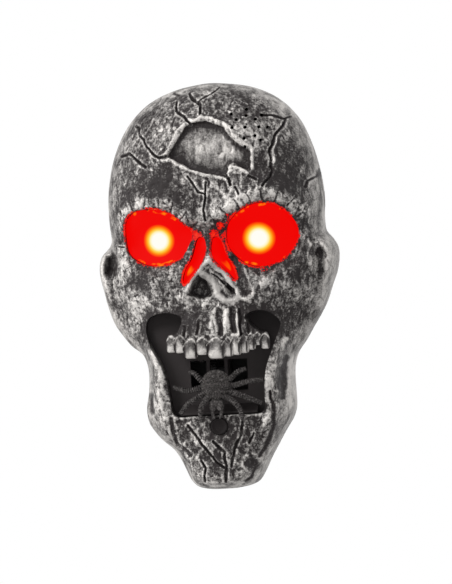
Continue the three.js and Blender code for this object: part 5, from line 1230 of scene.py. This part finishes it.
class DOORBELL_OT_skull_face(bpy.types.Operator):
    """Moulded skull face, sculpted from its height field, with its openings cut through"""

    bl_idname = "doorbell.skull_face"
    bl_label = "Skull face"

    def execute(self, context):
        settings = context.scene.skull_settings
        rings = 1 - np.linspace(0, 1, FACE_RINGS)[:-1] ** 1.25
        face = new_object("skull_face_dressed", *domed(OUTLINE, rings, carved_depth, 0.0, (0.0, 0.0)))
        remesh = face.modifiers.new("remesh", "REMESH")
        remesh.mode = "VOXEL"
        remesh.voxel_size = settings.voxel
        bake_modifiers(face)
        self.refine(face.data, settings.crack_band / MM)
        points = corners_of(face.data)
        normals = normals_of(face.data)
        points += normals * surface_relief(points, normals)[:, None]
        face.data.vertices.foreach_set("co", (points * MM).astype(np.float32).ravel())
        face.data.update()
        painted = self.paint(face.data)
        combine(face, self.cutters(), "DIFFERENCE")
        combine(face, self.teeth(), "UNION")
        self.thin_out(face)
        self.carry_paint(face.data, *painted)
        face.data.materials.clear()
        face.data.materials.append(silvered_plastic(settings.charcoal, settings.silver))
        shade_smooth(face, 50.0)
        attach(face, "case")
        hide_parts("skull_face")
        print("face triangles", triangle_count(face.data))
        return {"FINISHED"}

    def refine(self, mesh, band):
        """Splits the edges beside the cracks once, so that thin lines stay sharp."""
        points = corners_of(mesh)
        beside = np.zeros(len(points), bool)
        for line, _, width in CRACKS:
            beside |= distance_to_line(points[:, 0], points[:, 2], line) < band + width * 0.5
        beside &= normals_of(mesh)[:, 1] < -0.2
        shape = bmesh.new()
        shape.from_mesh(mesh)
        edges = [e for e in shape.edges if beside[e.verts[0].index] and beside[e.verts[1].index]]
        bmesh.ops.subdivide_edges(shape, edges=edges, cuts=1, use_grid_fill=True)
        shape.to_mesh(mesh)
        shape.free()

    def teeth(self):
        solids = []
        for x, low, width, height, proud in TEETH:
            root = float(face_depth(np.array([x]), np.array([low]))[0]) - 0.6
            tooth = new_object("tooth", *tooth_solid(x, low, width, height, proud, root))
            face_outwards(tooth.data)
            solids.append(tooth)
        return solids

    def cutters(self):
        """The hollow behind the face, then the openings that go through it."""
        edge = grown(smooth_line(OUTLINE, 120, True), -SHELL_WALL)
        core = new_object("core", *domed(edge, CORE_RING_SHARES, core_depth, BEHIND, (0.0, 0.0)))
        tubes = [(outline, TUBE_WALL, seat) for _, outline, seat, _, _ in LIT_OPENINGS] + [
            (MOUTH, TUBE_WALL, LINER_SEAT),
            (np.array(FOREHEAD_HOLE, float)[::-1], TUBE_WALL, FOREHEAD_SEAT),
            (NOSE_BLOCK, 0.0, FOREHEAD_SEAT),
        ]
        combine(core, [new_object("wall", *prism(grown(outline, wall), seat, BEYOND))
                       for outline, wall, seat in tubes], "DIFFERENCE")
        around = grown(MOUTH_SURROUND, TUBE_WALL + CLEARANCE)
        room = new_object("room", *prism(around, BEHIND, LINER_SEAT))
        combine(room, [new_object("within", *prism(edge, BEHIND - 1, BEYOND))], "INTERSECT")
        openings = [prism(outline, BEHIND, BEYOND) for _, outline, *_ in LIT_OPENINGS]
        openings.append(prism(MOUTH, MOUTH_BACK, BEYOND))
        button = prism(circle(*BUTTON, BUTTON_HOLE_RADIUS, 48), MOUTH_BACK, BEYOND)
        sound = merged([prism(circle(x, z, SOUND_HOLE_RADIUS, 12), SOUND_BACK, BEYOND)
                        for x, z in place(SOUND_HOLE_SHARES)])
        return [core, *(new_object("hole", *shape) for shape in openings), room,
                new_object("hole", *button), new_object("hole", *sound)]

    def paint(self, mesh):
        """The sculpted places with their tone, painted light and painted shade, from how far each stands out
        from what is round it.
        """
        points = corners_of(mesh)
        normals = normals_of(mesh)
        fine, broad = (
            np.sum((points - relaxed(mesh, points, rounds)) * normals, axis=1)
            for rounds in (RELAX_FINE, RELAX_BROAD))
        return points, *face_tone(points, fine, broad)

    def thin_out(self, piece):
        """Drops the triangles that show least, down to the limit."""
        count = triangle_count(piece.data)
        if count > TRIANGLE_LIMIT:
            modifier = piece.modifiers.new("thin_out", "DECIMATE")
            modifier.ratio = TRIANGLE_LIMIT / count
            bake_modifiers(piece)

    def carry_paint(self, mesh, places, silver, contrast, spill):
        """Gives each corner the paint, painted light and painted shade of the nearest sculpted place, and
        none to the cut walls.
        """
        tree = KDTree(len(places))
        for index, where in enumerate(places):
            tree.insert(where, index)
        tree.balance()
        points = corners_of(mesh)
        found = [tree.find(where)[1:] for where in points]
        nearest = np.array([index for index, _ in found])
        bare = ramp(np.array([away for _, away in found]), 0.6, 1.6)
        silver = silver[nearest] * (1 - bare) + 0.12 * bare
        outer = -points[:, 1] > face_depth(points[:, 0], points[:, 2]) - 4.5
        toothed = painted_teeth(points[:, 0], points[:, 2], silver)
        store(mesh, "silver", np.where(outer, toothed, silver))
        store(mesh, "contrast", contrast[nearest] * (1 - bare) + 0.4 * bare)
        store(mesh, "spill", spill[nearest] * (1 - bare))


class DOORBELL_OT_lenses(bpy.types.Operator):
    """Red eye and nose lenses, lit from behind"""

    bl_idname = "doorbell.lenses"
    bl_label = "Lit lenses"

    def execute(self, context):
        material = lit_red_plastic(context.scene.skull_settings.lens)
        rings = np.linspace(1, 0, 26)[:-1]
        for name, opening, _, back, led in LIT_OPENINGS:
            shape = domed(grown(opening, -CLEARANCE), rings,
                          lambda x, z: face_depth(x, z) - LENS_DROP, back)
            lens = new_object(name + "_dressed", *shape, material)
            points = corners_of(lens.data)
            away = distance_to_line(points[:, 0], points[:, 2], opening, True)
            glow = self.wedge_glow(points, away) if led is None else self.eye_glow(points, away, led)
            edging = (0.2 if led is None else 0.5) * near(away, 1.6)
            store(lens.data, "glow", glow)
            store(lens.data, "paint", edging + 0.22 * random_field(points, 5.0, 34))
            shade_smooth(lens, 60.0)
            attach(lens, "case")
            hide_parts(name)
        return {"FINISHED"}

    def eye_glow(self, points, away, led):
        """A round glow before the LED, and flecks along the upper and lower rim."""
        from_led = np.hypot(points[:, 0] - led[0], points[:, 2] - led[1])
        glow = np.clip(1 - from_led / LED_SPREAD, 0, 1)
        flecks = 0.46 * near(away - 1.2, 1.3) * ramp(np.abs(points[:, 2] - led[1]), 8.0, 13.0)
        flecks = flecks * np.maximum(random_field(points, 3.2, 31) + 0.2, 0)
        flecks = flecks * np.maximum(0.8 + random_field(points, 1.3, 32), 0)
        return np.maximum(0.3 + 0.7 * glow, np.minimum(0.34 + 0.8 * flecks, 0.53))

    def wedge_glow(self, points, away):
        """A faint streak down the middle."""
        streak = near(np.minimum(away - 2.4, 0), 1.2) * near(points[:, 2] - 9, 8)
        streak = streak * np.maximum(random_field(points * (1, 1, 0.5), 4.0, 33) + 0.3, 0)
        return 0.36 + np.minimum(0.2 * streak, 0.17)


class DOORBELL_OT_spider(bpy.types.Operator):
    """Furry spider with ribbed legs, on the toothed arm"""

    bl_idname = "doorbell.spider"
    bl_label = "Spider"

    def execute(self, context):
        material = spider_rubber("soft_charcoal_vinyl", ("201e1e", "403d3c", "6a6665"))
        x, depth, z = SPIDER_MIDDLE
        head_z = z - ABDOMEN_RADIUS * 1.45
        parts = [
            ball(SPIDER_MIDDLE, ABDOMEN_RADIUS + 0.1, ABDOMEN_STRETCH),
            ball((x, depth + 0.2, head_z + 0.9), 4.2, (1.15, 0.8, 0.95), 24, 14),
        ]
        parts += [ball((x + side * 2.2, depth + 1.6, head_z - 0.6), 2.5, (1.0, 0.9, 1.5), 20, 14)
                  for side in (-1, 1)]
        parts += [ball((x + side * 1.3, depth + 2.9, head_z + 1.2), 0.75, sides=12, rings=8)
                  for side in (-1, 1)]
        for side in (-1, 1):
            fang = [(x + side * across, depth + 1.2, head_z - drop) for across, drop in FANG_ROUTE]
            parts.append(ribbed_tube(fang, 1.15, 0.0, 0.0, 0.45))
        for route in LEG_SHARES:
            leg = [(x + a * ABDOMEN_RADIUS, depth + c * ABDOMEN_RADIUS, z + b * ABDOMEN_RADIUS)
                   for a, b, c in route]
            parts.append(ribbed_tube(leg, LEG_RADIUS, LEG_RIB_PITCH, LEG_RIB_RISE, 0.72))
        spider = new_object("spider_dressed", *merged(parts), material)
        face_outwards(spider.data)
        shade_smooth(spider, 60.0)
        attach(spider, "spider_carrier")
        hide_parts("spider")
        self.add_bristles(context.scene.skull_settings.hair)
        return {"FINISHED"}

    def add_bristles(self, length):
        """Bristles stand all over the abdomen, scattered by Geometry Nodes."""
        fibre = spider_rubber("charcoal_nylon_fibre", ("383434", "686462", "a39e9b"))
        body = new_object("spider_bristles", *ball(SPIDER_MIDDLE, ABDOMEN_RADIUS, ABDOMEN_STRETCH), fibre)
        face_outwards(body.data)

        def scattered(tree, given):
            spots = add_node(tree, "GeometryNodeDistributePointsOnFaces", {
                "Mesh": given["Geometry"], "Density": given["Density"], "Seed": 7})
            cone = add_node(tree, "GeometryNodeMeshCone", {
                "Vertices": 4, "Radius Top": 0.02 * MM, "Radius Bottom": 0.16 * MM,
                "Depth": given["Length"]})
            tilt = add_node(tree, "FunctionNodeRandomValue", {
                0: (-BRISTLE_LEAN,) * 3, 1: (BRISTLE_LEAN,) * 3, "Seed": 3}, data_type="FLOAT_VECTOR")
            leaning = add_node(tree, "FunctionNodeRotateRotation", {
                "Rotation": spots.outputs["Rotation"], "Rotate By": tilt})
            return add_node(tree, "GeometryNodeInstanceOnPoints", {
                "Points": spots, "Instance": cone, "Rotation": leaning})

        run_nodes(body, "bristles", {
            "Length": ("NodeSocketFloat", length),
            "Density": ("NodeSocketFloat", BRISTLES_PER_SQUARE_METRE),
        }, scattered, fibre)
        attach(body, "spider_carrier")


class DOORBELL_OT_button(bpy.types.Operator):
    """Round push button, slightly dished, with a rounded edge"""

    bl_idname = "doorbell.button"
    bl_label = "Push button"

    def execute(self, context):
        front = -box_mm("button_cap")[0][1]
        x, z = BUTTON
        profile = [(1.8, BUTTON_BACK - 1.6), (1.8, BUTTON_BACK), (BUTTON_RADIUS, BUTTON_BACK)]
        profile += [(BUTTON_RADIUS, front - 0.9)]
        profile += [(BUTTON_RADIUS - 0.7 * (1 - math.cos(t)), front - 0.9 + 0.9 * math.sin(t))
                    for t in np.linspace(0.2, math.pi / 2, 6)]
        profile += [(4.0, front - 0.08), (3.7, front - 0.3), (2.4, front - 0.42), (0.6, front - 0.45)]
        ears = np.array([(x - 6.4, z - 2), (x + 6.4, z - 2), (x + 6.4, z + 2), (x - 6.4, z + 2)])
        colour = context.scene.skull_settings.button
        black = moulded_plastic(
            "matte_black_abs_button", colour, scaled(colour, 1.45), 0.6, 0.8, 0.05, 0.08)
        shape = merged([turned(x, z, profile), prism(ears, BUTTON_BACK, BUTTON_BACK + 1.6)])
        cap = new_object("button_cap_dressed", *shape, black)
        face_outwards(cap.data)
        shade_smooth(cap, 35.0)
        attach(cap, "button")
        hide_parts("button_cap")
        return {"FINISHED"}


class DOORBELL_OT_screws(bpy.types.Operator):
    """Cross-headed screws in the cover and the battery door, placed by Geometry Nodes"""

    bl_idname = "doorbell.screws"
    bl_label = "Screws"

    def execute(self, context):
        metal = plated_metal("zinc_plated_steel_screw", "b9b8b4", 0.34)

        def placed(tree, given):
            screw = add_node(tree, "GeometryNodeObjectInfo", {"Object": given["Screw"]})
            turn = add_node(tree, "FunctionNodeRandomValue", {
                0: (0, 0, 0), 1: (0, 3.0, 0), "Seed": 5}, data_type="FLOAT_VECTOR")
            return add_node(tree, "GeometryNodeInstanceOnPoints", {
                "Points": given["Geometry"], "Instance": screw.outputs["Geometry"], "Rotation": turn})

        for name, body, count in (("case_screw", "case", 5), ("door_screw", "battery_door", 2)):
            nodes = [f"{name}_{i + 1}" for i in range(count)]
            boxes = [box_mm(node) for node in nodes]
            master = self.master_screw(boxes[0][1][1] - boxes[0][0][1], metal)
            spots = [((low[0] + high[0]) / 2, high[1], (low[2] + high[2]) / 2) for low, high in boxes]
            screws = new_object(name + "s", spots, [])
            run_nodes(screws, name + "s", {"Screw": ("NodeSocketObject", master)}, placed, metal)
            bpy.data.objects.remove(master)
            shade_smooth(screws, 35.0)
            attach(screws, body)
            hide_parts(*nodes)
        return {"FINISHED"}

    def master_screw(self, length, metal):
        """One screw with its head's back at the origin and its shank towards the viewer."""
        profile = [(2.3, 0.0), (2.6, 0.25), (2.7, 0.8), (2.7, 1.3), (1.4, 1.3)]
        for i in range(int((length - 2.6) / SCREW_PITCH)):
            start = 1.6 + i * SCREW_PITCH
            profile += [(1.1, start), (1.38, start + 0.4), (1.1, start + 0.8)]
        screw = new_object("screw", *turned(0, 0, profile + [(0.3, length)], 24), metal)
        face_outwards(screw.data)
        arms = [
            new_object("arm", *prism([(-a, -b), (a, -b), (a, b), (-a, b)], -1.0, 0.85))
            for a, b in ((1.6, 0.32), (0.32, 1.6))
        ]
        combine(screw, arms, "DIFFERENCE")
        return screw


class DOORBELL_OT_finishes(bpy.types.Operator):
    """Finishes of the pieces whose CAD shape is right as it stands"""

    bl_idname = "doorbell.finishes"
    bl_label = "Finishes"

    def execute(self, context):
        liner = context.scene.skull_settings.liner
        finishes = {
            "green_solder_mask": board_laminate(),
            "black_abs_mouth_liner": moulded_plastic(
                "black_abs_mouth_liner", liner, scaled(liner, 1.4), 0.5, 1.2, 0.06, 0.12),
        }
        for name, (colour, lighter, *values) in MOULDED.items():
            finishes[name] = moulded_plastic(name, linear(colour), linear(lighter), *values)
        for name, values in PLATED.items():
            finishes[name] = plated_metal(name, *values)
        slots = {row["node"]: row["material_slot"] for row in frame["record"]["subparts"]}
        for name, node in frame["nodes"].items():
            node.data.materials.clear()
            finish = NODE_FINISHES.get(name, SLOT_FINISHES[slots[name]])
            node.data.materials.append(finishes[finish])
        return {"FINISHED"}


class DOORBELL_PT_panel(bpy.types.Panel):
    """Builds the doorbell's pieces one by one"""

    bl_label = "Skull doorbell"
    bl_idname = "DOORBELL_PT_panel"
    bl_space_type = "VIEW_3D"
    bl_region_type = "UI"
    bl_category = "Skull doorbell"

    def draw(self, context):
        for name in SkullSettings.__annotations__:
            self.layout.prop(context.scene.skull_settings, name)
        for step in STEPS:
            self.layout.operator(step.bl_idname)


STEPS = [
    DOORBELL_OT_stage, DOORBELL_OT_finishes, DOORBELL_OT_skull_face, DOORBELL_OT_lenses,
    DOORBELL_OT_spider, DOORBELL_OT_button, DOORBELL_OT_screws,
]
CLASSES = [SkullSettings, DOORBELL_PT_panel] + STEPS


def register():
    for item in CLASSES:
        bpy.utils.register_class(item)
    bpy.types.Scene.skull_settings = bpy.props.PointerProperty(type=SkullSettings)


def unregister():
    del bpy.types.Scene.skull_settings
    for item in reversed(CLASSES):
        bpy.utils.unregister_class(item)


def main():
    register()
    bpy.ops.doorbell.stage()
    bpy.ops.doorbell.finishes()
    bpy.ops.doorbell.skull_face()
    bpy.ops.doorbell.lenses()
    bpy.ops.doorbell.spider()
    bpy.ops.doorbell.button()
    bpy.ops.doorbell.screws()


if __name__ == "__main__":
    main()
